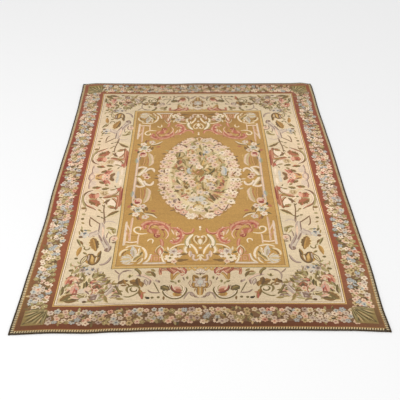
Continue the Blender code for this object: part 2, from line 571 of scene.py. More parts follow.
@dataclass
class Garland:
    """The band of crowded flowers between the terracotta bands, with a leaf fan in each corner."""

    bands: Bands
    seed: int = 11
    pitch: float = 31.0
    radius: float = 17.0
    corner: float = 99.0
    rows: tuple[float, ...] = (0.12, 0.37, 0.63, 0.88)
    stray_along: float = 0.3
    stray_inward: float = 0.07
    leaves_each: int = 3
    leaf_rows: tuple[float, ...] = (0.32, 0.68)
    leaf_inset: float = 12.0
    leaf_length: float = 27.0
    leaf_width: float = 0.46
    leaf_bend: float = 30.0
    leaf_chance: float = 0.10
    leaf_dyes: tuple[Dye, ...] = (MOSS, OLIVE, SAGE, KHAKI, BRONZE, SAND, SAGE, UMBER)
    blooms: tuple[Bloom, ...] = (
        Bloom(CREAM, SAND, OCHRE), Bloom(MIST, SKY, STEEL), Bloom(PEARL, MAUVE, PLUM),
        Bloom(SHELL, BLUSH, CORAL), Bloom(BLUSH, CORAL, MADDER), Bloom(SHELL, MAUVE, ROSE),
        Bloom(SAND, KHAKI, OLIVE), Bloom(SKY, MIST, STEEL), Bloom(MAUVE, PLUM, UMBER),
        Bloom(IVORY, SHELL, BARK), Bloom(SAGE, KHAKI, LEMON))
    weights: tuple[int, ...] = (5, 7, 6, 5, 2, 4, 4, 4, 3, 5, 3)

    def draw(self, drawing: Drawing) -> None:
        """Fills the four sides, then the corners."""
        dice = random.Random(self.seed)
        outer, inner = self.bands.garland, self.bands.inner_band
        for side in (1, -1):
            self.draw_side(drawing, dice, True, outer.x - self.corner, inner.y, outer.y - inner.y, side)
            self.draw_side(drawing, dice, False, outer.y - self.corner, inner.x, outer.x - inner.x, side)
        with drawing.repeated(Mirror.FOUR):
            self.draw_corner(drawing)

    def draw_side(self, drawing: Drawing, dice: random.Random, along_x: bool, half: float, near: float,
                  depth: float, side: int) -> None:
        """Fills one side with leaves and flowers.

        Args:
            drawing: The drawing to add to.
            dice: The seeded source of the flowers' unevenness.
            along_x: True for the front and back, False for the left and right.
            half: Half the side's length.
            near: Distance of the band's inner edge from the rug's middle.
            depth: The band's width.
            side: 1 or -1, the side of the middle that the band is on.
        """
        count = round(2 * half / self.pitch)
        step = 2 * half / count

        def place(along: float, inward: float) -> Point:
            """A place in the band, as a point in plan."""
            across = side * (near + inward)
            return (along, across) if along_x else (across, along)

        def leaf(along: float, inward: float) -> Leaf:
            """A leaf of chance size and yarn in the band."""
            length = self.leaf_length * dice.uniform(0.8, 1.25)
            return Leaf(*place(along, inward), dice.uniform(0, 360), length, length * self.leaf_width,
                        dice.choice(self.leaf_dyes), bend=self.leaf_bend)

        leaf_places = (self.leaf_inset, *(row * depth for row in self.leaf_rows), depth - self.leaf_inset)
        for k in range(count * self.leaves_each):
            inward = dice.choice(leaf_places) + dice.uniform(-5, 5)
            drawing.draw(leaf(-half + (k + dice.random()) * step / self.leaves_each, inward))
        for k in range(count):
            for row, inward in enumerate(self.rows):
                # every second row is set off by half a step
                along = -half + (k + 0.25 + 0.5 * (row % 2)) * step
                along += dice.uniform(-self.stray_along, self.stray_along) * step
                inward = depth * (inward + dice.uniform(-self.stray_inward, self.stray_inward))
                if dice.random() < self.leaf_chance:
                    drawing.draw(leaf(along, inward), leaf(along, inward))
                    continue
                bloom = dice.choices(self.blooms, self.weights)[0]
                drawing.draw(Blossom(*place(along, inward), self.radius * dice.uniform(0.82, 1.12), *bloom,
                                     petals=dice.choice((4, 5, 5, 6)), turn=dice.uniform(0, 90)))
            drawing.draw(leaf(-half + (k + dice.random()) * step, depth * dice.choice(self.leaf_rows)))

    def draw_corner(self, drawing: Drawing) -> None:
        """Draws the front left corner's leaf fan, which spreads from the inner corner to the outer one."""
        outer, inner = self.bands.garland, self.bands.inner_band
        out, root = (-outer.x, -outer.y), (-inner.x, -inner.y)
        square = ((out[0], out[1]), (root[0] + 14, out[1]), (root[0] + 14, root[1] + 8), (out[0], root[1] + 8))
        drawing.patches.append(Patch(square, KHAKI))
        blades = (MOSS, SAGE, OLIVE, SAND)
        drawing.draw(
            Fan(*turned(root, 225, -12.0, 0.0), 225, 98, 120, 13, 15, blades),
            Ribbon(((root[0] + 4, root[1] - 2), (root[0] - 2, -1268), (root[0] + 4, -1316)), 7, MOSS, SAGE, 0, 1, 1),
            Ribbon(((-772, root[1] - 4), (-820, root[1] - 2), (-864, root[1] - 8)), 7, MOSS, SAGE, 0, 1, 1),
            Leaf(*turned(root, 225, 4.0, 0.0), 225, 128, 30, KHAKI, vein=LEMON, lobes=4, rim=MOSS))


@dataclass
class EndBorder:
    """The cream border across the front and the back: scrolls, shells and leaves round the middle line."""

    lattice: tuple[Motif, ...] = (
        Ribbon(((-150, -940), (-150, -975), (-146, -1002)), 16, OCHRE, GOLD, 0, 1, 0.3),
        Ribbon(((-112, -945), (-130, -965), (-144, -1000)), 16, OCHRE, HONEY, 0.2, 0.8, 0.3),
        Ribbon(((-211, -904), (-214, -932), (-209, -960)), 17, CORAL, SALMON, 0, 1, 0.6),
        Ribbon(((-214, -915), (-212, -930), (-208, -944)), 5, MADDER),
        Ribbon(((-210, -909), (-185, -912), (-162, -908)), 9, BARK, CORAL, 0, 1, 1),
        Ribbon(((-206, -926), (-190, -921), (-168, -927)), 9, CORAL, SALMON, 0, 1, 1),
        Spot(-137, -920, 22, SALMON, 1.4, 0, 10), Spot(-95, -930, 18, SALMON, 1.2, 70, 10),
        Ribbon(((-178, -904), (-163, -925), (-143, -950)), 15, MADDER, CORAL, 0.3, 1, 0.5),
        Ribbon(((-104, -903), (-122, -930), (-143, -955)), 14, ROSE, SHELL, 0.3, 1, 0.5),
        Ribbon(((-156, -903), (-136, -916), (-112, -928), (-102, -950)), 11, MADDER, CORAL, 0, 1, 0.5),
        Ribbon(((-128, -903), (-112, -918), (-92, -926), (-80, -950)), 12, CORAL, SHELL, 0.2, 1, 0.5),
        Ribbon(((-92, -903), (-76, -925), (-80, -955)), 10, MADDER, ROSE, -0.2, 1, 0.5),
        Ribbon(((-104, -958), (-96, -966), (-84, -956)), 6, ROSE),
        Ribbon(((-68, -902), (-66, -925), (-52, -915), (-40, -902)), 13, GOLD, HONEY, 0, 1, 1),
        Ribbon(((-42, -903), (-30, -925), (-14, -908), (0, -904)), 13, GOLD, HONEY, 0, 1, 1),
        Leaf(-68, -972, -88, 28, 14, OLIVE, SAGE), Leaf(-92, -978, -72, 34, 9, PLUM),
        Leaf(-109, -1000, -95, 26, 17, OLIVE, SAGE), Leaf(-158, -1006, -30, 30, 16, OLIVE, SAGE),
        Leaf(-132, -1016, -70, 24, 12, SAGE))
    cartouche: tuple[Motif, ...] = (
        Ribbon(((-191, -1082), (-181, -1108), (-160, -1130), (-134, -1141), (-104, -1136), (-84, -1112),
            (-73, -1082), (-77, -1058)), 18, OLIVE, IVORY, 0.45, 0.5, 0.4, share=0.4),
        Ribbon(((-102, -1040), (-88, -1058), (-90, -1092)), 12, KHAKI, IVORY, 0.3),
        Spot(-120, -1074, 21, BLUSH, 1.15, -20, 10), Spot(-112, -1084, 15, CORAL, 1.3, -25),
        Leaf(-142, -1108, -12, 52, 30, OCHRE, GOLD), Leaf(-130, -1096, -88, 32, 22, GOLD, OCHRE),
        Ribbon(((-149, -1042), (-148, -1068), (-134, -1089), (-114, -1101), (-92, -1102)), 13, UMBER, MADDER, 0.3),
        Ribbon(((-139, -1052), (-136, -1070), (-124, -1082)), 6, SHELL),
        Leaf(-206, -1050, -30, 58, 48, OLIVE, KHAKI, lobes=3, rim=MOSS),
        Ribbon(((-158, -1040), (-163, -1070), (-172, -1092)), 5, BARK), Leaf(-185, -1124, -88, 32, 12, BRONZE))
    shell: tuple[Motif, ...] = (
        Ribbon(((-33, -962), (-32, -990), (-30, -1018), (-36, -1044), (-29, -1066)), 20, BRONZE, GOLD, 0, 0.5, 0.5),
        Ribbon(((-48, -1005), (-56, -1025), (-50, -1048), (-38, -1062)), 10, BARK, SHELL, 0.2),
        Leaf(-36, -968, -32, 36, 18, BRONZE, OCHRE), Leaf(-26, -956, 4, 28, 10, BARK),
        Leaf(-18, -978, -84, 30, 19, BRONZE, OLIVE),
        Ribbon(((-40, -1058), (-20, -1062), (0, -1058)), 11, BRONZE, OCHRE, 0, 1, 1),
        Ribbon(((-9, -1060), (-10, -1090), (-7, -1120)), 15, OCHRE, GOLD, 0.2, 1, 0.4),
        Ribbon(((-16, -1062), (-17, -1088), (-14, -1108)), 5, BARK), Leaf(-24, -1066, -100, 30, 8, OCHRE),
        Ribbon(((-82, -1150), (-74, -1126), (-62, -1104), (-46, -1100), (-34, -1112), (-24, -1134), (-4, -1138)),
            10, PLUM, MAUVE, 0.2, share=0.35), Leaf(-52, -1104, -60, 34, 12, PLUM, MAUVE),
        Leaf(-12, -1130, 170, 28, 8, BARK))
    scrolls: tuple[Motif, ...] = (
        Ribbon(((-243, -1018), (-230, -1050), (-210, -1097)), 6, OLIVE),
        Ribbon(((-270, -1076), (-254, -1094), (-232, -1100), (-204, -1099)), 9, PLUM),
        Ribbon(((-338, -954), (-300, -964), (-268, -986), (-250, -1008)), 20, MAUVE, SHELL, 0.3, 0.5, 0.4),
        Leaf(-290, -990, -76, 56, 22, MAUVE, PEARL, rim=PLUM), Leaf(-262, -996, -95, 46, 18, MAUVE, PLUM),
        Leaf(-236, -996, -50, 34, 14, MAUVE), Leaf(-218, -1002, -75, 24, 12, PLUM),
        Leaf(-326, -950, -60, 26, 12, PLUM), Spot(-212, -1133, 8.5, OLIVE), Spot(-243, -1135, 8.5, OLIVE),
        Spot(-266, -1137, 9, PEAT, 1.3, -10), Spot(-276, -1131, 6, MOSS), Leaf(-296, -940, -16, 70, 38, SAGE, LEMON),
        Leaf(-290, -936, 12, 40, 16, BRONZE, OCHRE, -40), Leaf(-264, -912, -40, 34, 18, KHAKI),
        Leaf(-262, -930, -52, 58, 20, BRONZE, OLIVE, -24),
        Ribbon(((-350, -906), (-334, -918), (-322, -934), (-316, -956)), 18, OLIVE, KHAKI, 0.3, 0.5, 0.3),
        Leaf(-388, -1005, -52, 50, 34, LEMON), Ribbon(((-392, -1022), (-374, -1030), (-366, -1050)), 9, BRONZE),
        Leaf(-430, -1026, 44, 62, 34, BRONZE, UMBER, -40, 3), Leaf(-404, -986, -72, 50, 18, BRONZE, OCHRE),
        Leaf(-414, -1034, -20, 36, 14, BRONZE, None, 30), Leaf(-438, -1032, -95, 20, 9, OLIVE),
        Leaf(-370, -1002, -18, 86, 52, BRONZE, OCHRE, -20, 4, vein=UMBER),
        Leaf(-330, -978, -80, 66, 34, UMBER, BRONZE, 0, 3), Leaf(-306, -1010, -84, 46, 26, OCHRE, BRONZE),
        Spot(-342, -1067, 30, CREAM, sides=12),
        Ribbon(((-366, -1096), (-378, -1074), (-376, -1052), (-358, -1042), (-334, -1042), (-316, -1054),
            (-310, -1078)), 12, OLIVE, KHAKI, 0.2, share=0.3),
        Ribbon(((-352, -1052), (-360, -1068), (-348, -1084), (-330, -1082), (-326, -1068)), 9, OLIVE),
        Spot(-339, -1066, 9, IVORY), Spot(-328, -1080, 5, MOSS),
        Ribbon(((-390, -1121), (-364, -1124), (-338, -1112), (-318, -1092), (-310, -1070)),
            10, OLIVE, SAGE, 0.4, share=0.3),
        Ribbon(((-434, -1040), (-426, -1066), (-414, -1090), (-398, -1112)),
            14, OLIVE, KHAKI, 0.3, 0.3, 0.3, share=0.3), Leaf(-315, -1066, -72, 84, 26, BRONZE, OCHRE),
        Leaf(-306, -1100, 8, 30, 12, CORAL), Leaf(-300, -1104, -84, 44, 12, ROSE),
        Leaf(-388, -970, 24, 40, 26, SAGE, LEMON), Leaf(-372, -950, -88, 30, 12, OLIVE),
        Ribbon(((-425, -1000), (-428, -958), (-408, -926), (-384, -918), (-362, -924)), 9, PLUM, MAUVE, share=0.35),
        Ribbon(((-456, -912), (-444, -930), (-428, -946)), 8, PLUM), Leaf(-414, -930, 22, 36, 12, PLUM))

    def draw(self, drawing: Drawing) -> None:
        """Draws the front left half and repeats it, with the middle shell's heart last."""
        with drawing.repeated(Mirror.FOUR):
            drawing.draw(*self.scrolls, *self.lattice, *self.cartouche, *self.shell)
        with drawing.repeated(Mirror.ENDS):
            for turn in (30, 60, 90, 120, 150):
                drawing.draw(Leaf(0, -952, turn, 44, 18, IVORY, rim=MAUVE))
            for turn in range(0, 360, 45):
                drawing.draw(Leaf(0, -1020, turn, 42, 22, PEARL, rim=MAUVE))
            drawing.draw(
                Spot(0, -1020, 22, MAUVE, 1.3, 90, 10), Spot(0, -1020, 16, MIST, 1.3, 90),
                Leaf(0, -1052, 90, 26, 9, SKY),
                Ribbon(((0, -1064), (0, -1095), (0, -1124)), 9, GOLD, LEMON, 0, 1, 0.5),
                Leaf(0, -968, 90, 20, 10, OLIVE))


@dataclass
class SideBorder:
    """The cream border along the left and right: pods, branching acanthus, cartouches and roses."""

    pods: tuple[Motif, ...] = (
        Leaf(-612, -768, -84, 98, 60, GOLD, OCHRE, 10), Spot(-585, -822, 34, GOLD, 1.15, 90, 12),
        Leaf(-594, -784, -82, 60, 16, HONEY), Leaf(-572, -790, -92, 58, 14, BRONZE),
        Leaf(-566, -792, -94, 56, 9, CREAM),
        Ribbon(((-616, -776), (-604, -790), (-606, -830), (-596, -856), (-576, -860), (-558, -838), (-549, -800),
            (-551, -742)), 14, UMBER, BRONZE, 0.3, 0.5, 0.15, 4),
        Ribbon(((-612, -774), (-592, -776), (-578, -800), (-572, -796)), 10, UMBER),
        Leaf(-550, -742, -100, 66, 22, OCHRE, UMBER), Ribbon(((-572, -796), (-560, -786), (-550, -752)), 6, OLIVE),
        Leaf(-618, -784, -112, 84, 32, LEMON, rim=UMBER, vein=OLIVE), Leaf(-648, -757, -38, 34, 16, OLIVE, KHAKI),
        Ribbon(((-612, -780), (-610, -800), (-612, -830)), 8, MAUVE),
        Ribbon(((-616, -676), (-609, -704), (-618, -730), (-632, -738), (-644, -728), (-642, -712)),
            9, OLIVE, KHAKI, 0.3, share=0.3), Ribbon(((-642, -712), (-654, -706), (-660, -690)), 7, SAGE),
        Leaf(-612, -616, -76, 142, 78, LEMON, None, 0, 5), Leaf(-610, -626, -75, 128, 60, OCHRE, BRONZE, 0, 5),
        Ribbon(((-606, -640), (-590, -690), (-578, -740)), 8, GOLD), Leaf(-580, -650, -84, 80, 14, UMBER, vein=KHAKI),
        Leaf(-700, -640, -50, 76, 20, OLIVE, SAGE, -30), Leaf(-662, -706, -106, 92, 26, GOLD, OCHRE, 16),
        Leaf(-676, -656, -62, 44, 14, BRONZE), Spot(-679, -621, 12, BARK, 1.2, 0), Spot(-660, -588, 9, STEEL, 1.2),
        Blossom(-664, -602, 30, MIST, PEARL, SKY), Spot(-662, -588, 9, STEEL, 1.2), Spot(-680, -621, 11, BARK),
        Leaf(-692, -550, -50, 36, 16, OLIVE, None, -20), Leaf(-674, -556, -20, 28, 14, STEEL),
        Leaf(-698, -566, -74, 44, 10, KHAKI), Leaf(-658, -556, -20, 34, 14, SAGE),
        Leaf(-690, -520, -80, 40, 10, SAGE), Spot(-694, -405, 10, SAGE, 1.2), Spot(-695, -450, 11, OLIVE),
        Leaf(-698, -482, -40, 28, 14, KHAKI), Spot(-677, -812, 9, OLIVE, 1.2), Spot(-690, -912, 10, OLIVE, 1.2),
        Leaf(-668, -836, -50, 36, 12, SAGE), Leaf(-700, -846, -80, 40, 10, SAGE),
        Ribbon(((-545, -862), (-520, -858), (-500, -836), (-488, -796)), 15, PLUM, MAUVE, 0.3, 0.5, 0.3))
    branches: tuple[Motif, ...] = (
        Frond(((-620, -640), (-606, -604), (-590, -560), (-585, -520)), 40, 5, (MAUVE, PLUM, PEARL), 200, (1,)),
        Ribbon(((-580, -486), (-574, -520), (-572, -560), (-566, -600), (-548, -650), (-528, -690), (-508, -750)),
            36, MAUVE, PEARL, -0.2, 0.35, 0.6, 4),
        Ribbon(((-588, -560), (-600, -584), (-622, -594), (-630, -624)), 34, MAUVE, PEARL, 0.2, 0.6, 0.3),
        Ribbon(((-590, -486), (-586, -530), (-586, -574)), 7, PLUM),
        Ribbon(((-560, -600), (-542, -654), (-520, -700)), 6, PLUM),
        Ribbon(((-580, -600), (-562, -640), (-552, -662)), 9, PLUM), Leaf(-566, -520, -84, 110, 14, SHELL),
        Leaf(-526, -722, -60, 40, 34, PLUM, BARK), Leaf(-500, -700, -100, 56, 22, MAUVE, PLUM),
        Ribbon(((-571, -490), (-550, -474), (-522, -472), (-497, -488)), 11, MAUVE, PEARL, 0.3),
        Leaf(-548, -540, 4, 44, 22, SAGE, KHAKI), Leaf(-524, -546, -10, 40, 22, OLIVE, KHAKI),
        Leaf(-530, -560, -58, 50, 18, SAGE, LEMON), Leaf(-494, -540, -84, 56, 12, SAGE),
        Leaf(-510, -552, -70, 50, 12, KHAKI), Ribbon(((-527, -578), (-534, -604), (-531, -630)), 7, PLUM),
        Ribbon(((-498, -612), (-512, -632), (-512, -660), (-508, -676)), 8, PLUM),
        Spot(-488, -640, 20, SHELL, 1.3, 85, 10), Blossom(-487, -640, 15, SHELL, BLUSH, ROSE),
        Leaf(-500, -612, -8, 26, 10, BARK), Leaf(-500, -674, -4, 30, 12, BARK), Leaf(-498, -650, -40, 24, 8, PLUM),
        Ribbon(((-655, -430), (-625, -462), (-588, -498)), 9, BARK),
        Ribbon(((-651, -440), (-650, -480), (-644, -510), (-630, -526)), 8, BARK),
        Ribbon(((-577, -300), (-578, -360), (-570, -420), (-566, -486)), 8, BARK),
        Ribbon(((-566, -430), (-560, -470), (-562, -500)), 5, PLUM), Leaf(-574, -330, 128, 32, 11, OLIVE),
        Leaf(-614, -352, -45, 32, 14, KHAKI), Leaf(-616, -420, -20, 26, 13, OLIVE),
        Leaf(-598, -378, -30, 26, 10, OLIVE), Leaf(-592, -428, -40, 30, 10, OLIVE),
        Leaf(-570, -440, 40, 26, 10, OLIVE), Leaf(-478, -372, 212, 98, 50, SAGE, LEMON, 14, 4),
        Leaf(-484, -368, 208, 92, 28, BRONZE, OLIVE, 22, 3), Leaf(-718, -340, -8, 38, 26, BRONZE, KHAKI),
        Ribbon(((-690, -330), (-684, -360), (-686, -380)), 5, BARK))
    cartouche: tuple[Motif, ...] = (
        Ribbon(((-660, -154), (-690, -174), (-708, -210), (-708, -256), (-694, -294), (-668, -322), (-640, -340),
            (-622, -362)), 24, BARK, IVORY, 0.5, 0.4, 0.3, 4, 0.4),
        Ribbon(((-712, -200), (-716, -250), (-704, -300), (-690, -330)), 12, SAGE),
        Ribbon(((-690, -306), (-662, -326), (-634, -350)), 12, BARK, SALMON, 0.3),
        Ribbon(((-652, -158), (-630, -152), (-608, -172), (-600, -200)), 14, SAND, LEMON),
        Leaf(-672, -184, -64, 82, 60, CORAL, BRONZE, 0, 3), Leaf(-668, -192, -58, 66, 18, MADDER, vein=SALMON),
        Leaf(-646, -190, -84, 62, 24, CORAL, SALMON), Spot(-630, -190, 9, CORAL),
        Spot(-628, -214, 12, BLUSH, 2.0, 85), Leaf(-680, -250, -28, 60, 50, SAGE),
        Leaf(-676, -262, -26, 86, 66, BRONZE, CORAL, -10, 4), Leaf(-660, -266, -34, 66, 14, CORAL),
        Leaf(-626, -292, -80, 36, 26, CORAL, BRONZE),
        Ribbon(((-600, -238), (-576, -262), (-580, -300)), 26, SAND, IVORY, 0, 0.4, 0.4),
        Blossom(-588, -184, 27, SAND, BRONZE, OCHRE, 6), Spot(-586, -182, 8, LEMON), Spot(-608, -231, 8, OLIVE, 1.2),
        Spot(-536, -160, 26, IVORY, 1.5, 60, 12), Spot(-530, -292, 27, IVORY, 1.4, 110, 12),
        Ribbon(((-594, -230), (-562, -226), (-530, -216), (-498, -218)), 20, BRONZE, CORAL, 0.3, 0.3, 1),
        Ribbon(((-503, -124), (-506, -160), (-522, -190), (-556, -206), (-592, -208)),
            16, BRONZE, SHELL, -0.4, 0.5, 0.3, share=0.35),
        Ribbon(((-534, -236), (-514, -262), (-502, -296), (-506, -344)),
            17, BRONZE, SALMON, 0.3, 0.8, 0.5, share=0.4),
        Ribbon(((-590, -212), (-560, -212), (-530, -204)), 6, SALMON), Leaf(-552, -222, 20, 60, 24, OCHRE, KHAKI),
        Leaf(-560, -148, 4, 42, 16, KHAKI, None, 30), Leaf(-528, -140, 40, 26, 10, OLIVE),
        Spot(-505, -140, 9, ROSE, 2.0, 85),
        Ribbon(((-512, -210), (-498, -228), (-496, -270), (-502, -310)), 20, CORAL, SALMON, 0.2, 0.6, 0.5),
        Ribbon(((-492, -110), (-488, -160), (-486, -215), (-484, -266), (-490, -330)),
            20, CORAL, SALMON, 0.4, 0.5, 0.5, share=0.4),
        Ribbon(((-479, -130), (-481, -180), (-480, -230), (-481, -268)), 10, MADDER),
        Leaf(-483, -262, -92, 64, 16, CORAL), Leaf(-548, -246, 232, 62, 22, OLIVE, BARK),
        Leaf(-574, -262, -78, 44, 14, BARK), Leaf(-560, -318, -20, 56, 36, SAGE, KHAKI, -14, 3),
        Leaf(-550, -334, -10, 46, 20, BRONZE, CORAL), Leaf(-506, -322, -92, 38, 22, BRONZE, CORAL),
        Leaf(-674, -126, 10, 62, 34, KHAKI, OLIVE, 0, 3), Leaf(-650, -134, 34, 34, 26, CORAL, BRONZE),
        Leaf(-612, -140, 16, 52, 32, OLIVE, KHAKI, 0, 3))
    roses: tuple[Motif, ...] = (
        Ribbon(((-702, 0), (-704, -20), (-690, -46), (-692, -90), (-690, -136)), 14, PLUM, MAUVE, 0.3, 1, 0.4),
        Spot(-672, -80, 22, PEARL, 1.6, 85, 10),
        Ribbon(((-694, 0), (-684, -20), (-676, -36)), 16, SHELL, PEARL, 0, 1, 0.3),
        Ribbon(((-676, 0), (-672, -14), (-690, -34)), 7, MAUVE, start=1), Spot(-646, -8, 22, HONEY, 1.2, 90, 10),
        Leaf(-664, -2, -36, 70, 24, BRONZE, SALMON),
        Ribbon(((-646, 0), (-636, -22), (-612, -40)), 13, BRONZE, SALMON, 0.3, 1),
        Rose(-592, -20, 30, SHELL, BLUSH, PLUM), Rose(-594, -56, 28, SALMON, ROSE, MADDER),
        Leaf(-604, -36, -96, 50, 16, MADDER, vein=SALMON), Leaf(-578, -44, -70, 46, 16, ROSE, BLUSH),
        Leaf(-572, -6, -50, 52, 30, BRONZE, BARK, -20), Leaf(-636, -50, -40, 46, 26, BRONZE, OLIVE),
        Leaf(-594, -80, -50, 34, 20, BRONZE, SAGE), Leaf(-576, 0, 4, 30, 12, BRONZE),
        Leaf(-534, -96, -64, 28, 9, OLIVE), Spot(-524, -30, 10, MIST, 4.0, 88, 10),
        Spot(-500, -60, 8, IVORY, 5.0, 88, 10))

    def draw(self, drawing: Drawing) -> None:
        """Draws the front left half and repeats it."""
        with drawing.repeated(Mirror.FOUR):
            drawing.draw(*self.branches, *self.pods, *self.cartouche, *self.roses)


@dataclass
class CornerBouquet:
    """The dense bouquet in each corner of the cream border, from a leafy foot in the outer corner."""

    seed: int = 5
    leaves: int = 210
    leaf_width: float = 0.38
    leaf_dyes: tuple[Dye, ...] = (OLIVE, SAGE, SAGE, MAUVE, KHAKI, BARK, SAND, PLUM, BLUSH)
    corner: Point = (-706, -1156)
    reach: float = 285.0
    foot: tuple[Motif, ...] = (
        Leaf(-716, -1158, 46, 104, 60, OLIVE, BRONZE, 0, 4, rim=SAND), Leaf(-712, -1110, 86, 70, 22, UMBER, SAGE),
        Leaf(-690, -1152, 6, 70, 28, BRONZE, OLIVE), Leaf(-704, -1090, 100, 56, 14, OLIVE),
        Leaf(-662, -1136, 4, 56, 14, UMBER), Leaf(-684, -1096, 70, 36, 10, UMBER),
        Leaf(-706, -1060, 64, 50, 16, SAGE, OLIVE), Leaf(-668, -1120, 60, 40, 14, OLIVE))
    flowers: tuple[Motif, ...] = (
        Leaf(-622, -930, -68, 62, 20, OLIVE, KHAKI), Leaf(-604, -966, -70, 50, 18, SAGE, LEMON),
        Leaf(-588, -1046, 104, 70, 24, MOSS, KHAKI), Leaf(-606, -1060, 92, 64, 24, OLIVE, LEMON),
        Leaf(-556, -978, 100, 50, 22, KHAKI, OLIVE), Leaf(-566, -976, 60, 66, 16, SAGE),
        Leaf(-548, -942, -6, 54, 22, OLIVE, KHAKI, -12), Leaf(-536, -960, 0, 40, 16, KHAKI, MOSS),
        Leaf(-544, -992, 50, 50, 20, SAGE, LEMON), Leaf(-520, -990, -20, 50, 20, SAGE, PLUM),
        Ribbon(((-600, -955), (-596, -985), (-606, -1010)), 9, LEMON),
        Ribbon(((-556, -890), (-544, -920), (-548, -946)), 6, KHAKI), Leaf(-520, -1020, 30, 66, 22, SAGE, KHAKI),
        Leaf(-508, -1060, -50, 60, 22, BRONZE, SAGE), Leaf(-490, -1104, -70, 60, 18, KHAKI),
        Leaf(-528, -1084, -10, 56, 14, BRONZE), Leaf(-470, -990, 240, 40, 16, OLIVE),
        Leaf(-490, -1010, 200, 40, 16, MAUVE), Leaf(-474, -1020, -70, 46, 26, PEARL, MAUVE),
        Blossom(-600, -902, 26, MIST, PEARL, SKY), Blossom(-628, -908, 20, MAUVE, BARK, STEEL),
        Blossom(-574, -900, 22, PEARL, PLUM, STEEL), Blossom(-594, -932, 22, PEARL, MIST, PLUM),
        Spot(-622, -888, 6, STEEL, 1.4, -40), Spot(-606, -902, 6, STEEL, 1.6, 70),
        Spot(-576, -905, 6, STEEL, 1.6, -60), Spot(-586, -942, 6, BARK), Spot(-690, -910, 8, STEEL, 1.2),
        Leaf(-700, -1026, 82, 62, 24, ROSE, SALMON, -10), Leaf(-676, -1026, 92, 56, 22, MADDER, CORAL),
        Leaf(-660, -1000, 90, 34, 20, SHELL, SALMON), Leaf(-690, -984, 60, 34, 16, SALMON),
        Ribbon(((-682, -990), (-668, -974), (-648, -972), (-636, -990), (-628, -996)), 18, SALMON, SHELL, 0.2),
        Ribbon(((-700, -972), (-680, -962), (-650, -966)), 6, ROSE), Leaf(-640, -984, -10, 34, 14, BARK, OLIVE),
        Leaf(-656, -1008, -10, 36, 9, BARK), Leaf(-650, -1010, -70, 40, 20, BLUSH, SHELL),
        Spot(-646, -1066, 24, BLUSH, 1.5, 85, 10), Leaf(-656, -1098, 82, 66, 20, ROSE, BLUSH),
        Leaf(-634, -1096, 96, 50, 9, MADDER), Leaf(-662, -1096, 0, 40, 14, MADDER, BARK),
        Leaf(-664, -1112, -20, 56, 18, SHELL, BLUSH), Spot(-606, -1072, 19, PEARL, 1.3, 20, 10),
        Spot(-582, -1060, 17, SHELL, 1.3, 60), Leaf(-592, -1066, -50, 44, 12, PLUM),
        Leaf(-630, -1066, 130, 30, 10, MAUVE),
        Ribbon(((-626, -1092), (-600, -1104), (-586, -1098), (-590, -1122)), 16, OLIVE, LEMON, 0.2, 0.5, 0.5),
        Leaf(-626, -1116, -8, 40, 16, SAGE, KHAKI), Spot(-592, -1140, 20, PEARL, 1.2),
        Spot(-584, -1152, 9, UMBER, 1.3), Leaf(-572, -1016, 62, 34, 20, ROSE, MADDER),
        Leaf(-572, -1000, 10, 40, 12, SALMON),
        Ribbon(((-568, -1020), (-554, -1040), (-566, -1060)), 12, SHELL, BLUSH),
        Rose(-534, -1040, 26, BARK, CORAL, UMBER), Leaf(-556, -1052, -20, 36, 18, UMBER, MADDER),
        Leaf(-546, -1092, 50, 46, 14, HONEY), Ribbon(((-560, -1052), (-552, -1080), (-560, -1100)), 7, CORAL),
        Blossom(-536, -1068, 18, SHELL, SALMON, CORAL), Leaf(-560, -1130, 30, 60, 34, MAUVE, PLUM, 0, 3),
        Leaf(-530, -1140, 80, 50, 20, PEARL, PLUM), Leaf(-566, -1130, -10, 40, 14, PLUM),
        Leaf(-486, -1108, 60, 70, 40, MAUVE, PEARL, 0, 4),
        Ribbon(((-490, -1090), (-476, -1070), (-462, -1044)), 6, PLUM), Blossom(-504, -1142, 16, PEARL, MAUVE, BARK),
        Leaf(-540, -1150, 14, 60, 14, SAGE))

    def draw(self, drawing: Drawing) -> None:
        """Draws the front left bouquet over a thicket of small leaves, and repeats it in the other corners."""
        dice = random.Random(self.seed)
        with drawing.repeated(Mirror.FOUR):
            for _ in range(self.leaves):
                turn, reach = dice.uniform(4, 86), self.reach * math.sqrt(dice.uniform(0.02, 1))
                x, y = turned(self.corner, turn, reach, 0.0)
                dye = dice.choice(self.leaf_dyes)
                length = dice.uniform(26, 46)
                turn += dice.uniform(-60, 60)
                drawing.draw(Leaf(x, y, turn, length, length * self.leaf_width, dye, dice.choice((KHAKI, None))))
            drawing.draw(*self.foot, *self.flowers)


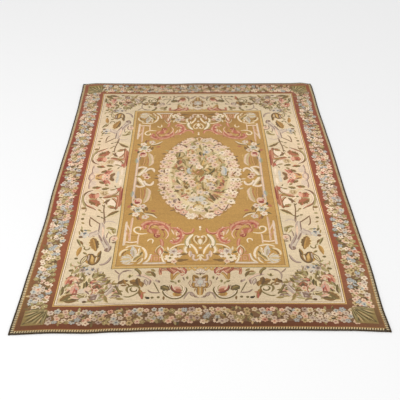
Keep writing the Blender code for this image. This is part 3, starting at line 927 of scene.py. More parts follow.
@dataclass
class Field:
    """The gold field round the medallion: coral acanthus scrolls, corner shells, small blooms and the end posy."""

    acanthus: tuple[Motif, ...] = (
        Spot(-272, -574, 26, CORAL, 1.5, -20, 10),
        Frond(((-318, -560), (-330, -520), (-302, -496), (-252, -500), (-212, -522), (-190, -560)),
            36, 9, (ROSE, SALMON, CORAL), 50, (-1,)),
        Ribbon(((-326, -560), (-334, -520), (-306, -490), (-252, -492), (-208, -514), (-182, -548), (-182, -592)),
            30, ROSE, SALMON, 0.3, 0.3, 0.2, 4, 0.45),
        Frond(((-326, -560), (-334, -520), (-306, -490), (-252, -492), (-208, -514), (-182, -548)),
            21, 9, (SALMON, CORAL, BLUSH), 130, (1,), 0.5),
        Frond(((-316, -556), (-322, -520), (-298, -502), (-250, -506), (-214, -526), (-192, -556)),
            24, 9, (MADDER, SALMON, ROSE), 140, (-1,), 0.36),
        Ribbon(((-296, -556), (-292, -526), (-268, -508), (-240, -512)), 14, MADDER, SALMON, 0.4),
        Ribbon(((-280, -548), (-262, -534), (-236, -538)), 8, HONEY), Spot(-225, -545, 15, SALMON, 1.5, -50),
        Spot(-216, -566, 7, MADDER, 1.6, -40), Leaf(-292, -562, -30, 66, 22, CORAL, ROSE),
        Leaf(-296, -556, -64, 50, 16, SALMON), Leaf(-262, -560, -84, 44, 14, ROSE),
        Leaf(-240, -566, -100, 40, 14, SALMON), Rose(-243, -617, 22, CORAL, SALMON, MADDER, 40),
        Ribbon(((-264, -600), (-258, -628), (-238, -638)), 8, MADDER),
        Ribbon(((-208, -552), (-190, -580), (-182, -616), (-196, -652)), 9, SALMON, SHELL),
        Ribbon(((-214, -580), (-202, -610), (-210, -640)), 7, CORAL),
        Frond(((-166, -556), (-126, -562), (-108, -596), (-108, -640), (-130, -676), (-166, -680)),
            34, 9, (SALMON, ROSE, SHELL), 48, (-1,)),
        Ribbon(((-172, -546), (-134, -554), (-108, -586), (-103, -632), (-120, -676), (-148, -690), (-174, -668)),
            26, ROSE, SALMON, 0.35, 0.2, 0.2, 4, 0.4),
        Frond(((-166, -546), (-130, -554), (-106, -586), (-102, -632), (-118, -676), (-148, -690)),
            19, 8, (SALMON, SHELL, CORAL), 130, (1,), 0.5),
        Frond(((-152, -560), (-122, -582), (-113, -620), (-120, -662)), 22, 6, (MADDER, SALMON), 140, (-1,), 0.36),
        Leaf(-168, -560, -70, 60, 9, SHELL), Leaf(-152, -566, -76, 60, 8, SALMON),
        Leaf(-138, -580, -84, 50, 8, SHELL), Leaf(-158, -640, -60, 40, 10, SALMON),
        Leaf(-186, -530, 60, 34, 10, CORAL),
        Ribbon(((-100, -586), (-84, -600), (-62, -600), (-44, -586), (-38, -554)), 17, ROSE, SALMON, 0.3),
        Ribbon(((-92, -606), (-72, -612), (-54, -604)), 6, MADDER),
        Ribbon(((-224, -650), (-214, -685), (-214, -724)), 18, ROSE, SALMON),
        Ribbon(((-346, -566), (-344, -546), (-362, -536), (-382, -550), (-380, -576), (-360, -596), (-334, -602),
            (-304, -596)), 14, HONEY, IVORY, 0.2, 0.4, 0.4, share=0.6), Spot(-362, -562, 10, KHAKI),
        Ribbon(((-296, -672), (-292, -656), (-276, -650), (-266, -664), (-270, -690)), 11, HONEY, IVORY, share=0.6))
    frame_lines: tuple[Motif, ...] = (
        Ribbon(((-428, -704), (-429, -600), (-432, -480)), 15, SHELL, PEARL, 0.3, 1, 0.6),
        Ribbon(((-400, -665), (-402, -560), (-400, -440)), 13, SHELL, SALMON, 0.4, 1, 0.6, share=0.3),
        Ribbon(((-430, -500), (-416, -540), (-400, -578)), 8, SHELL),
        Ribbon(((-430, -560), (-412, -610), (-400, -650)), 6, SALMON),
        Ribbon(((-420, -672), (-385, -677), (-350, -670)), 11, SHELL, IVORY, 0, 1, 1),
        Ribbon(((-424, -698), (-385, -702), (-346, -696)), 8, SAND, None, 0, 1, 1),
        Ribbon(((-352, -690), (-353, -640), (-350, -600)), 9, SHELL, None, 0, 1, 0.6),
        Ribbon(((-398, -610), (-376, -614), (-354, -610)), 6, OCHRE, None, 0, 1, 1),
        Ribbon(((-406, -300), (-407, -150), (-406, 0)), 17, MAUVE, SHELL, 0.1, 0.5, 1),
        Spot(-374, -196, 22, OCHRE, 3.0, 90, 10), Ribbon(((-372, -130), (-362, -190), (-364, -270)), 8, CORAL, HONEY),
        Spot(-380, -68, 18, BRONZE, 1.5, 80), Spot(-372, -70, 9, KHAKI, 1.8, 80),
        Ribbon(((-392, -10), (-378, -42), (-358, -78), (-346, -116)), 30, SAND, IVORY, 0.2, 0.4, 0.4, share=0.6),
        Ribbon(((-352, -44), (-338, -80), (-320, -96), (-300, -90), (-290, -54)),
            20, SHELL, IVORY, -0.2, 0.4, 0.3, share=0.6), Ribbon(((-340, -60), (-324, -76), (-306, -72)), 7, KHAKI),
        Ribbon(((-354, -64), (-346, -84), (-338, -100)), 6, MAUVE),
        Ribbon(((-400, -100), (-380, -116), (-350, -112)), 18, SHELL, IVORY, 0, 0.5, 0.5),
        Ribbon(((-330, -128), (-316, -166), (-318, -214), (-326, -256), (-342, -292)),
            34, SAND, SHELL, 0.45, 0.1, 0.15, share=0.4),
        Ribbon(((-304, -206), (-297, -238), (-298, -272)), 6, HONEY),
        Ribbon(((-344, -140), (-336, -190), (-346, -250)), 6, CORAL))
    blooms: tuple[Motif, ...] = (
        Leaf(-414, -160, -94, 70, 24, SAGE, SKY), Leaf(-400, -206, -88, 46, 22, PEARL, PLUM),
        Leaf(-402, -240, -70, 70, 30, SAGE, SHELL), Leaf(-352, -300, -60, 50, 24, BRONZE, SAGE),
        Leaf(-416, -290, -80, 44, 16, MOSS), Leaf(-398, -392, 216, 40, 16, OLIVE),
        Leaf(-326, -330, -80, 50, 20, BRONZE), Leaf(-374, -420, -80, 50, 18, BRONZE),
        Leaf(-346, -394, -30, 50, 18, BRONZE, KHAKI),
        Ribbon(((-336, -402), (-306, -408), (-280, -420), (-254, -450)),
            24, OCHRE, CREAM, -0.3, 0.4, 0.2, share=0.5),
        Ribbon(((-330, -396), (-300, -400), (-268, -412)), 7, UMBER), Leaf(-296, -372, -20, 34, 22, CORAL),
        Spot(-378, -278, 27, SHELL, 1.4, 80, 10), Leaf(-390, -252, -84, 48, 22, ROSE, BLUSH),
        Leaf(-372, -254, -80, 50, 18, BLUSH), Spot(-380, -290, 13, MADDER, 1.3, 10),
        Leaf(-376, -300, -84, 34, 18, SHELL), Blossom(-346, -328, 24, PEARL, BLUSH, PLUM),
        Leaf(-412, -320, -50, 40, 22, LEMON, IVORY), Spot(-428, -328, 11, CORAL, 1.5, 60),
        Leaf(-420, -346, -40, 44, 24, SAND, IVORY), Blossom(-374, -362, 30, MIST, SAGE, STEEL, 6),
        Leaf(-402, -352, -70, 34, 12, PLUM), Leaf(-352, -350, -70, 44, 30, CREAM, BRONZE),
        Blossom(-384, -410, 24, IVORY, SHELL, BLUSH), Blossom(-326, -438, 24, PEARL, SHELL, ROSE),
        Leaf(-366, -440, -60, 40, 12, CORAL))
    shell: tuple[Motif, ...] = (
        Ribbon(((-416, -724), (-396, -710), (-366, -705), (-328, -718)), 18, HONEY, IVORY, -0.2, 0.4, 0.5),
        Ribbon(((-326, -722), (-308, -752), (-299, -790), (-304, -830)), 20, HONEY, IVORY, 0.2, 0.4, 0.2, share=0.6),
        Leaf(-356, -812, 102, 104, 46, PEARL, MIST, 0, 4), Leaf(-344, -800, 84, 76, 24, SAND, IVORY),
        Leaf(-366, -800, 106, 60, 12, MAUVE),
        Ribbon(((-440, -798), (-436, -766), (-418, -746), (-400, -738)), 22, HONEY, CREAM, 0.3),
        Ribbon(((-432, -796), (-424, -768), (-408, -752)), 10, BRONZE),
        Fan(-376, -822, 186, 120, 66, 20, 9, (PEARL, SAND, MIST)),
        Ribbon(((-426, -852), (-400, -866), (-360, -862)), 8, PEARL),
        Ribbon(((-364, -800), (-366, -770), (-374, -744)), 5, SAGE),
        Ribbon(((-350, -780), (-346, -756), (-356, -736)), 6, GOLD),
        Ribbon(((-384, -796), (-392, -772), (-390, -750)), 6, GOLD), Leaf(-374, -850, 50, 92, 44, CREAM),
        Leaf(-366, -842, 50, 78, 28, HONEY, KHAKI), Leaf(-350, -850, 56, 60, 8, BRONZE),
        Ribbon(((-340, -866), (-322, -846), (-314, -816)), 10, CREAM), Leaf(-334, -790, 60, 34, 12, OLIVE),
        Spot(-398, -748, 7, KHAKI, 1.6, 40))
    fret: tuple[Motif, ...] = (
        Ribbon(((-272, -784), (-276, -812), (-286, -840), (-306, -858)), 15, SAND, IVORY, 0, 1, 0.6, share=0.6),
        Ribbon(((-214, -786), (-210, -816), (-202, -846), (-190, -862)), 13, SAND, IVORY, 0, 1, 0.6, share=0.6),
        Ribbon(((-312, -862), (-252, -864), (-188, -862)), 15, MAUVE, PEARL, 0, 1, 1, share=0.6),
        Ribbon(((-266, -848), (-266, -800), (-264, -796), (-224, -796), (-222, -800), (-222, -848)),
            9, CORAL, SALMON, 0, 1, 1),
        Ribbon(((-250, -838), (-250, -814), (-248, -812), (-238, -812), (-236, -814), (-236, -838)),
            7, SALMON, None, 0, 1, 1), Ribbon(((-250, -838), (-243, -838), (-236, -838)), 7, SALMON, None, 0, 1, 1),
        Spot(-243, -768, 12, CORAL), Leaf(-222, -798, 92, 92, 52, CREAM), Leaf(-220, -792, 92, 72, 34, CORAL, SALMON),
        Leaf(-220, -790, 92, 44, 12, IVORY),
        Ribbon(((-220, -716), (-238, -742), (-240, -772), (-226, -800)), 9, OCHRE),
        Leaf(-204, -760, 60, 34, 12, HONEY))
    posy: tuple[Motif, ...] = (
        Leaf(-130, -846, 10, 50, 26, BRONZE, BRONZE), Leaf(-188, -852, -10, 44, 18, BRONZE),
        Leaf(-176, -780, 150, 36, 16, OLIVE), Leaf(-108, -796, 20, 50, 18, BRONZE),
        Leaf(-140, -752, 74, 40, 14, BRONZE), Leaf(-186, -742, -50, 44, 16, SAND, OLIVE),
        Leaf(-120, -726, -60, 40, 14, KHAKI), Leaf(-196, -810, 190, 30, 12, LEMON),
        Leaf(-150, -848, -60, 40, 16, SAND, OLIVE), Blossom(-148, -764, 29, PEARL, MAUVE, PLUM),
        Blossom(-124, -796, 25, IVORY, PEARL, OCHRE, 6), Blossom(-166, -820, 33, IVORY, LEMON, OLIVE, 6, 20),
        Blossom(-144, -850, 18, SHELL, BLUSH, BARK), Blossom(-112, -762, 17, BLUSH, SHELL, CORAL),
        Spot(-158, -796, 7, KHAKI, 1.4), Leaf(-176, -756, 100, 36, 12, CREAM),
        Ribbon(((-168, -744), (-140, -718), (-108, -704), (-76, -704)), 15, HONEY, IVORY, 0.2))
    lyre: tuple[Motif, ...] = (
        Spot(-30, -660, 20, OCHRE, 2.0, 100, 10),
        Ribbon(((-72, -708), (-84, -736), (-86, -760), (-74, -782)), 22, SAND, IVORY, 0.2, 0.5, 0.3),
        Ribbon(((-40, -612), (-60, -636), (-74, -672), (-72, -706), (-54, -732)),
            28, SAGE, IVORY, 0.1, 0.3, 0.4, 4, 0.6),
        Ribbon(((-56, -700), (-40, -724), (-26, -752), (-18, -790)), 18, HONEY, IVORY, 0.2, 0.5, 0.3, share=0.6),
        Ribbon(((-50, -640), (-58, -664), (-52, -696)), 5, SAGE), Leaf(-64, -706, -96, 40, 8, BRONZE),
        Ribbon(((-12, -622), (-26, -626), (-36, -644), (-32, -674), (-12, -706)), 12, HONEY, CREAM, 0.3, 0.5, 0.4),
        Spot(-11, -636, 9, IVORY), Leaf(-56, -758, -90, 60, 22, SHELL, MAUVE), Leaf(-34, -780, 250, 40, 14, OCHRE),
        Ribbon(((-6, -826), (-24, -842), (-40, -828), (-36, -800), (-50, -792)), 15, MAUVE, SHELL),
        Leaf(-80, -786, 190, 40, 14, BRONZE), Leaf(-64, -836, 190, 50, 16, BRONZE),
        Leaf(-20, -850, 180, 60, 10, OCHRE))

    def draw(self, drawing: Drawing) -> None:
        """Draws the front left quarter and repeats it, with the flowers that stand on the middle lines last."""
        with drawing.repeated(Mirror.FOUR):
            for group in (self.frame_lines, self.acanthus, self.blooms, self.shell, self.fret, self.posy, self.lyre):
                drawing.draw(*group)
        with drawing.repeated(Mirror.ENDS):
            drawing.draw(
                Leaf(0, -532, -90, 26, 14, IVORY), Spot(0, -566, 7, SHELL, 1.4, 90),
                Leaf(0, -648, -90, 64, 32, IVORY, rim=SAND), Spot(0, -735, 9, IVORY),
                Leaf(0, -756, -90, 40, 20, OCHRE), Leaf(0, -790, -50, 30, 12, CREAM),
                Leaf(0, -790, -130, 30, 12, CREAM), Leaf(0, -800, -90, 50, 16, CREAM))
        with drawing.repeated(Mirror.SIDES):
            drawing.draw(
                Blossom(-346, 20, 24, SHELL, BLUSH, CORAL), Spot(-326, 20, 8, UMBER, 1.4, 80),
                Blossom(-334, -8, 23, SHELL, BLUSH, PLUM), Spot(-334, -8, 9, MADDER),
                Leaf(-374, 4, 180, 36, 18, KHAKI))


class Ground(NamedTuple):
    """An oval of plain yarn: its share of the medallion's size, degrees between its points, and its yarn."""

    share: float
    step: int
    dye: Dye


class FlowerRing(NamedTuple):
    """A ring of flowers: its share of the medallion's size, the flowers' radius, and its turn in degrees."""

    share: float
    radius: float
    shift: float


@dataclass
class Medallion:
    """The oval in the middle: a ring of flowers, a pale ground and a crowded bouquet."""

    centre: Point = (5, 18)
    half: Point = (262, 478)
    seed: int = 23
    ring_flowers: int = 44
    rings: tuple[FlowerRing, ...] = (FlowerRing(0.955, 25.0, 0.0), FlowerRing(0.815, 23.0, 4.0))
    leaf_rings: tuple[float, ...] = (0.99, 0.88, 0.74)
    ring_leaf_dyes: tuple[Dye, ...] = (SAGE, KHAKI, BARK, CREAM)
    grounds: tuple[Ground, ...] = (Ground(0.97, 6, SAND), Ground(0.78, 8, LEMON), Ground(0.70, 8, SAND))
    scallop: float = 12.0
    scallops: int = 11
    thicket: int = 470
    thicket_reach: float = 0.69
    thicket_width: float = 0.34
    thicket_dyes: tuple[Dye, ...] = (
        KHAKI, SAGE, OLIVE, BARK, SAND, CREAM, SALMON, OCHRE, KHAKI, SAGE, HONEY, OCHRE)
    blooms: tuple[Bloom, ...] = (
        Bloom(SHELL, BLUSH, BARK), Bloom(IVORY, SHELL, PLUM), Bloom(SHELL, MAUVE, PLUM),
        Bloom(SHELL, IVORY, ROSE), Bloom(IVORY, PEARL, OLIVE))
    weights: tuple[int, ...] = (7, 3, 6, 4, 3)
    accents: tuple[Motif, ...] = (
        Leaf(-222, -160, 80, 50, 14, BARK), Leaf(-150, -300, 100, 44, 18, PLUM), Leaf(-118, -280, 110, 40, 12, UMBER),
        Blossom(-130, -336, 30, SHELL, PEARL, ROSE),
        Ribbon(((-150, -330), (-142, -362), (-112, -372), (-98, -352)), 10, PLUM, ROSE),
        Blossom(-98, -394, 27, BLUSH, SHELL, PLUM), Ribbon(((-116, -410), (-98, -426), (-80, -412)), 9, PLUM),
        Leaf(-146, -366, 200, 40, 12, BARK), Blossom(-55, -436, 32, IVORY, PEARL, SHELL, 6),
        Blossom(60, -430, 32, IVORY, SHELL, MAUVE, 6),
        Ribbon(((0, -420), (14, -446), (34, -470), (44, -476)), 8, BRONZE, HONEY),
        Ribbon(((6, -424), (-8, -450), (-26, -474)), 8, BRONZE), Leaf(-4, -414, -86, 50, 16, OCHRE),
        Blossom(110, -398, 27, BLUSH, SHELL, PLUM), Ribbon(((86, -410), (108, -426), (130, -404)), 9, PLUM),
        Blossom(150, -338, 28, SHELL, PEARL, ROSE),
        Ribbon(((112, -338), (126, -364), (150, -374), (166, -344), (178, -310)), 9, PLUM, BARK),
        Leaf(-128, 424, 50, 50, 16, PLUM), Leaf(-110, 396, -40, 44, 16, UMBER),
        Blossom(-118, 366, 28, SHELL, PEARL, BLUSH),
        Ribbon(((-152, 396), (-138, 410), (-116, 400), (-96, 380)), 10, PLUM, MADDER),
        Blossom(-96, 434, 27, SHELL, BLUSH, PLUM), Blossom(-62, 470, 26, SHELL, PEARL, SAND),
        Blossom(80, 468, 27, SHELL, PEARL, BLUSH), Blossom(46, 454, 24, PEARL, SHELL, BARK),
        Ribbon(((100, 440), (118, 462), (134, 452)), 9, UMBER), Blossom(138, 376, 28, SHELL, PEARL, ROSE),
        Ribbon(((106, 376), (120, 394), (146, 402), (156, 384)), 10, PLUM, UMBER),
        Leaf(6, 500, -94, 54, 22, GOLD, OCHRE), Leaf(-226, 40, 90, 50, 12, BARK), Leaf(222, 20, 60, 44, 14, BARK),
        Leaf(232, -12, 110, 44, 12, OCHRE))
    greenery: tuple[Motif, ...] = (
        Leaf(-42, 432, -80, 70, 44, SAGE, KHAKI, 0, 3), Leaf(10, 404, -80, 90, 40, KHAKI, LEMON, 0, 3),
        Leaf(48, 390, -100, 80, 34, SAGE, OLIVE), Leaf(10, 306, -84, 60, 26, MOSS, KHAKI),
        Leaf(38, 296, -100, 50, 14, STEEL), Leaf(-90, 320, -90, 60, 24, CREAM, SAGE),
        Leaf(-126, 204, -96, 64, 44, BARK, CORAL, 0, 3), Leaf(-90, 200, -84, 80, 30, KHAKI, SAND),
        Leaf(-148, 156, -80, 60, 26, CORAL, SAND), Leaf(-6, 240, -80, 70, 30, SAND, KHAKI),
        Leaf(30, 196, -100, 76, 30, KHAKI, HONEY), Leaf(138, 220, -70, 66, 34, OCHRE, SAND),
        Leaf(160, 160, -84, 60, 24, SAGE), Leaf(56, 146, -110, 66, 36, KHAKI, LEMON),
        Leaf(52, 96, -50, 66, 34, HONEY, OLIVE, -30), Leaf(104, 96, -110, 90, 26, KHAKI, MOSS, -20),
        Leaf(-150, 20, -86, 80, 24, LEMON, SAGE), Leaf(-138, -30, -70, 70, 36, OLIVE, LEMON, 0, 3),
        Leaf(-20, -20, -100, 80, 40, OCHRE, KHAKI), Leaf(26, -60, -84, 90, 30, KHAKI, SAND),
        Leaf(108, -20, -84, 90, 26, BARK, KHAKI), Leaf(-92, -106, -60, 60, 24, BRONZE),
        Leaf(-120, -164, 190, 40, 20, MOSS, BARK), Leaf(-104, -182, -84, 60, 20, OLIVE, SAGE),
        Leaf(-26, -190, -110, 60, 30, LEMON, OCHRE), Leaf(62, -160, 4, 66, 16, OLIVE),
        Leaf(82, -178, -6, 84, 18, CORAL, BARK), Leaf(84, -190, -22, 80, 18, HONEY, SALMON),
        Leaf(84, -202, -40, 76, 18, CORAL, KHAKI), Leaf(82, -212, -58, 70, 14, SALMON, OLIVE),
        Leaf(78, -210, -74, 74, 12, UMBER), Ribbon(((62, -186), (74, -230), (92, -284)), 13, UMBER, OLIVE),
        Leaf(50, -270, -40, 50, 30, LEMON, OCHRE),
        Ribbon(((-38, -356), (-32, -330), (-10, -314), (16, -322), (22, -346)), 14, BRONZE, HONEY, -0.2),
        Leaf(60, -330, -120, 50, 30, CREAM, SAGE), Leaf(-60, -320, -110, 60, 26, SAGE, CREAM),
        Leaf(30, -350, -70, 50, 20, OLIVE))
    flowers: tuple[Motif, ...] = (
        Spot(-126, 266, 34, KHAKI, 1.2, 80, 12), Spot(-122, 268, 22, SAND, 1.3, 80),
        Leaf(-134, 238, 84, 60, 14, MOSS), Spot(-122, 220, 13, OCHRE), Blossom(-36, 362, 30, PEARL, MAUVE, BARK),
        Blossom(52, 300, 27, PEARL, SKY, STEEL), Blossom(52, 344, 24, CREAM, PEARL, SAGE),
        Blossom(-64, 258, 24, SHELL, SAND, BARK), Blossom(-32, 254, 28, SHELL, PEARL, PLUM),
        Blossom(-32, 198, 29, SHELL, BLUSH, MADDER), Blossom(-16, 148, 26, SHELL, PEARL, BARK),
        Blossom(-50, 164, 22, PEARL, BLUSH, PLUM), Blossom(2, 108, 26, IVORY, SHELL, BLUSH),
        Blossom(98, 232, 28, SHELL, BLUSH, PLUM), Blossom(88, 184, 29, SHELL, PEARL, MADDER),
        Blossom(106, 136, 27, SHELL, BLUSH, BARK), Blossom(70, 212, 22, PEARL, BLUSH, ROSE),
        Spot(-120, 98, 24, BARK, 1.2, 70, 10), Leaf(-126, 82, 40, 44, 22, CORAL, SALMON), Spot(-110, 84, 8, IVORY),
        Ribbon(((-62, 100), (-70, 60), (-52, 30)), 22, SKY, MIST, 0, 0.5, 0.4), Spot(4, 44, 33, OCHRE, 1.15, 80, 12),
        Leaf(-14, 30, 60, 40, 14, CORAL, SALMON), Ribbon(((-14, 58), (4, 66), (20, 50)), 7, BARK),
        Ribbon(((154, 118), (172, 80), (160, 50), (172, 10)), 36, PEARL, MIST, 0.1, 0.4, 0.4),
        Ribbon(((172, 100), (178, 60), (172, 20)), 10, SKY), Leaf(40, 6, -116, 86, 18, MADDER, CORAL),
        Blossom(-124, 26, 38, SHELL, BLUSH, PLUM), Blossom(-84, -26, 34, SHELL, PEARL, PLUM),
        Blossom(-48, -66, 27, SHELL, BLUSH, BARK), Blossom(-38, -104, 26, SHELL, BLUSH, UMBER),
        Blossom(-62, 0, 22, SHELL, SAND, BARK), Blossom(62, -10, 30, IVORY, PEARL, BLUSH),
        Blossom(94, -42, 26, SHELL, PEARL, PLUM), Blossom(72, -98, 27, PEARL, MAUVE, PLUM),
        Blossom(86, -138, 27, SHELL, MAUVE, MADDER), Leaf(146, -30, -84, 70, 38, HONEY, CORAL, 0, 3),
        Leaf(136, -70, -60, 50, 22, CORAL, BARK), Blossom(130, -134, 20, SALMON, CORAL, MADDER),
        Blossom(-130, -122, 30, SHELL, MAUVE, BLUSH), Leaf(-150, -132, 10, 54, 14, MAUVE),
        Blossom(-68, -170, 32, LEMON, HONEY, OCHRE), Leaf(-116, -236, 40, 56, 26, CORAL, SALMON),
        Blossom(-74, -240, 24, SHELL, SALMON, CORAL), Blossom(8, -184, 28, SHELL, PEARL, MAUVE),
        Blossom(46, -190, 20, PEARL, MAUVE, PLUM), Blossom(-30, -216, 22, CREAM, SHELL, OCHRE),
        Blossom(-40, -262, 32, PEARL, MIST, PLUM), Blossom(6, -256, 34, MIST, PEARL, SKY),
        Blossom(30, -300, 24, PEARL, MIST, BARK), Blossom(-4, -372, 24, CREAM, IVORY, SAGE))

    def on_ring(self, turn: float, share: float) -> Point:
        """A point of the oval at an angle in degrees and a share of its size."""
        a = math.radians(turn)
        return self.centre[0] + self.half[0] * share * math.cos(a), self.centre[1] + self.half[1] * share * math.sin(a)

    def oval(self, share: float, step: int) -> tuple[Point, ...]:
        """The oval's outline at a share of its size."""
        return tuple(self.on_ring(turn, share) for turn in range(0, 360, step))

    def draw(self, drawing: Drawing) -> None:
        """Draws the ground, the ring and the bouquet."""
        dice = random.Random(self.seed)
        outline = tuple(
            self.on_ring(turn, 1.0 + self.scallop / self.half[0] * abs(math.sin(math.radians(turn * self.scallops))))
            for turn in range(0, 360, 4))
        drawing.patches.append(Patch(outline, OCHRE))
        drawing.patches += [Patch(self.oval(ground.share, ground.step), ground.dye) for ground in self.grounds]
        for _ in range(self.thicket):
            x, y = self.on_ring(dice.uniform(0, 360), self.thicket_reach * math.sqrt(dice.random()))
            length, turn = dice.uniform(28, 50), dice.gauss(90, 40)
            drawing.draw(Leaf(x, y, turn, length, length * self.thicket_width, dice.choice(self.thicket_dyes)))
        turns = self.even_turns(self.ring_flowers)
        for turn in turns:
            for share in self.leaf_rings:
                x, y = self.on_ring(turn + dice.uniform(-3, 3), share + dice.uniform(-0.03, 0.03))
                dye = dice.choice(self.ring_leaf_dyes)
                drawing.draw(Leaf(x, y, dice.uniform(0, 360), 36, 14, dye))
        for ring in self.rings:
            for turn in turns:
                x, y = self.on_ring(turn + dice.uniform(-1.2, 1.2) + ring.shift, ring.share + dice.uniform(-0.02, 0.02))
                bloom = dice.choices(self.blooms, self.weights)[0]
                drawing.draw(Blossom(x, y, ring.radius * dice.uniform(0.88, 1.12), *bloom, turn=dice.uniform(0, 72)))
        drawing.draw(*self.accents, *self.greenery, *self.flowers)

    def even_turns(self, count: int) -> list[float]:
        """Angles that space points evenly along the oval."""
        fine = [self.on_ring(k / 4, 1.0) for k in range(4 * 360 + 1)]
        reach = [0.0]
        for a, b in zip(fine, fine[1:]):
            reach.append(reach[-1] + math.dist(a, b))
        return [next(k / 4 for k, r in enumerate(reach) if r >= reach[-1] * step / count) for step in range(count)]


class Wander(NamedTuple):
    """How far an edge stands outside the true rectangle: place along the side from -1 to 1, then metres."""

    place: float
    offset: float


class Ridge(NamedTuple):
    """A soft ridge: its crest's middle, direction in degrees from X, half length and half width, and height."""

    x: float
    y: float
    turn: float
    half_length: float
    half_width: float
    height: float


@dataclass(frozen=True)
class Lie:
    """How the cloth lies: its wandering edges and its soft ridges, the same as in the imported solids."""

    left: tuple[Wander, ...] = (
        Wander(-1.00, 0.009), Wander(-0.76, 0.002), Wander(-0.55, -0.003), Wander(-0.33, -0.009),
        Wander(-0.11, -0.003), Wander(0.11, -0.005), Wander(0.36, -0.010), Wander(0.66, -0.009),
        Wander(0.88, -0.003), Wander(1.00, 0.001))
    right: tuple[Wander, ...] = (
        Wander(-1.00, 0.002), Wander(-0.88, -0.004), Wander(-0.66, 0.002), Wander(-0.33, -0.004),
        Wander(-0.11, -0.008), Wander(0.22, -0.007), Wander(0.44, -0.011), Wander(0.66, -0.015),
        Wander(0.88, -0.011), Wander(1.00, -0.016))
    front: tuple[Wander, ...] = (
        Wander(-1.00, 0.012), Wander(-0.77, 0.003), Wander(-0.60, 0.006), Wander(-0.44, -0.002),
        Wander(-0.22, -0.008), Wander(0.00, -0.010), Wander(0.44, -0.008), Wander(0.77, -0.004),
        Wander(1.00, 0.006))
    back: tuple[Wander, ...] = (
        Wander(-1.00, -0.008), Wander(-0.87, 0.006), Wander(-0.65, 0.004), Wander(-0.45, 0.000),
        Wander(-0.22, -0.004), Wander(0.00, 0.003), Wander(0.33, -0.002), Wander(0.66, 0.000),
        Wander(0.90, 0.000), Wander(1.00, -0.012))
    ridges: tuple[Ridge, ...] = (
        Ridge(-0.66, -1.318, 0.0, 0.36, 0.042, 0.0060), Ridge(-0.05, -1.316, 0.0, 0.34, 0.038, 0.0030),
        Ridge(0.44, -1.318, 0.0, 0.36, 0.040, 0.0050), Ridge(0.00, 1.322, 0.0, 1.60, 0.046, 0.0075),
        Ridge(-0.76, 1.330, -4.0, 0.24, 0.060, 0.0060), Ridge(0.87, 1.330, -38.0, 0.16, 0.060, 0.0050),
        Ridge(-0.875, -0.45, 90.0, 0.42, 0.050, 0.0030), Ridge(-0.880, 0.52, 90.0, 0.38, 0.050, 0.0025),
        Ridge(0.880, 0.62, 90.0, 0.50, 0.055, 0.0040), Ridge(0.875, -0.62, 90.0, 0.36, 0.045, 0.0025),
        Ridge(-0.24, 0.63, 24.0, 0.30, 0.070, 0.0025), Ridge(0.25, 0.61, -26.0, 0.30, 0.070, 0.0025),
        Ridge(-0.36, -0.52, 52.0, 0.28, 0.070, 0.0020), Ridge(0.37, -0.50, -50.0, 0.28, 0.070, 0.0020))

    @cached_property
    def middle(self) -> Point:
        """The shift that brings the middle of the finished outline to the origin."""
        highest = [max(row.offset for row in edge) for edge in (self.left, self.right, self.front, self.back)]
        return (highest[0] - highest[1]) / 2, (highest[2] - highest[3]) / 2

    @staticmethod
    def wander(edge: tuple[Wander, ...], place: float) -> float:
        """Reads an edge's offset at a place from -1 to 1, eased between the table's rows."""
        place = max(-1.0, min(1.0, place))
        for here, after in zip(edge, edge[1:]):
            if place <= after.place:
                share = (place - here.place) / (after.place - here.place)
                return here.offset + (after.offset - here.offset) * smooth(share)
        return edge[-1].offset

    def lift(self, x: float, y: float) -> float:
        """Height of the cloth's underside over the surface at a point of the pattern's plan."""
        total = 0.0
        for ridge in self.ridges:
            turn = math.radians(ridge.turn)
            dx, dy = x - ridge.x, y - ridge.y
            along = (dx * math.cos(turn) + dy * math.sin(turn)) / ridge.half_length
            across = (dy * math.cos(turn) - dx * math.sin(turn)) / ridge.half_width
            if abs(along) < 1.0 and abs(across) < 1.0:
                total += ridge.height * math.cos(along * math.pi / 2) ** 2 * math.cos(across * math.pi / 2) ** 2
        return total

    def place(self, x: float, y: float, z: float) -> tuple[float, float, float]:
        """Takes a point of the pattern's plan to where the lying rug has it.

        Args:
            x: Distance to the right of the middle.
            y: Distance behind the middle.
            z: Height in the cloth, from its underside.

        Returns:
            The point in the frame.
        """
        across, along = x / (RUG_WIDTH / 2), y / (RUG_LENGTH / 2)
        to_right, to_back = smooth((across + 1) / 2), smooth((along + 1) / 2)
        shift_x = to_right * self.wander(self.right, along) - (1 - to_right) * self.wander(self.left, along)
        shift_y = to_back * self.wander(self.back, across) - (1 - to_back) * self.wander(self.front, across)
        return x + shift_x + self.middle[0], y + shift_y + self.middle[1], z + self.lift(x, y)


class Fade(NamedTuple):
    """A soft patch of the rug made darker or lighter, a factor for each channel: partly yarn that faded or kept its
    strength, partly painted shade.

    It acts on one dye, or on all of them where none is named.
    """

    x: float
    y: float
    reach_x: float
    reach_y: float
    red: float
    green: float
    blue: float
    only: Dye | None = None


Tone = tuple[Dye, float]


@dataclass
class Sheet:
    """A flat sheet of triangles: its points, its triangles and the yarn of each."""

    points: list[Point]
    triangles: list[tuple[int, ...]]
    tones: list[Tone]


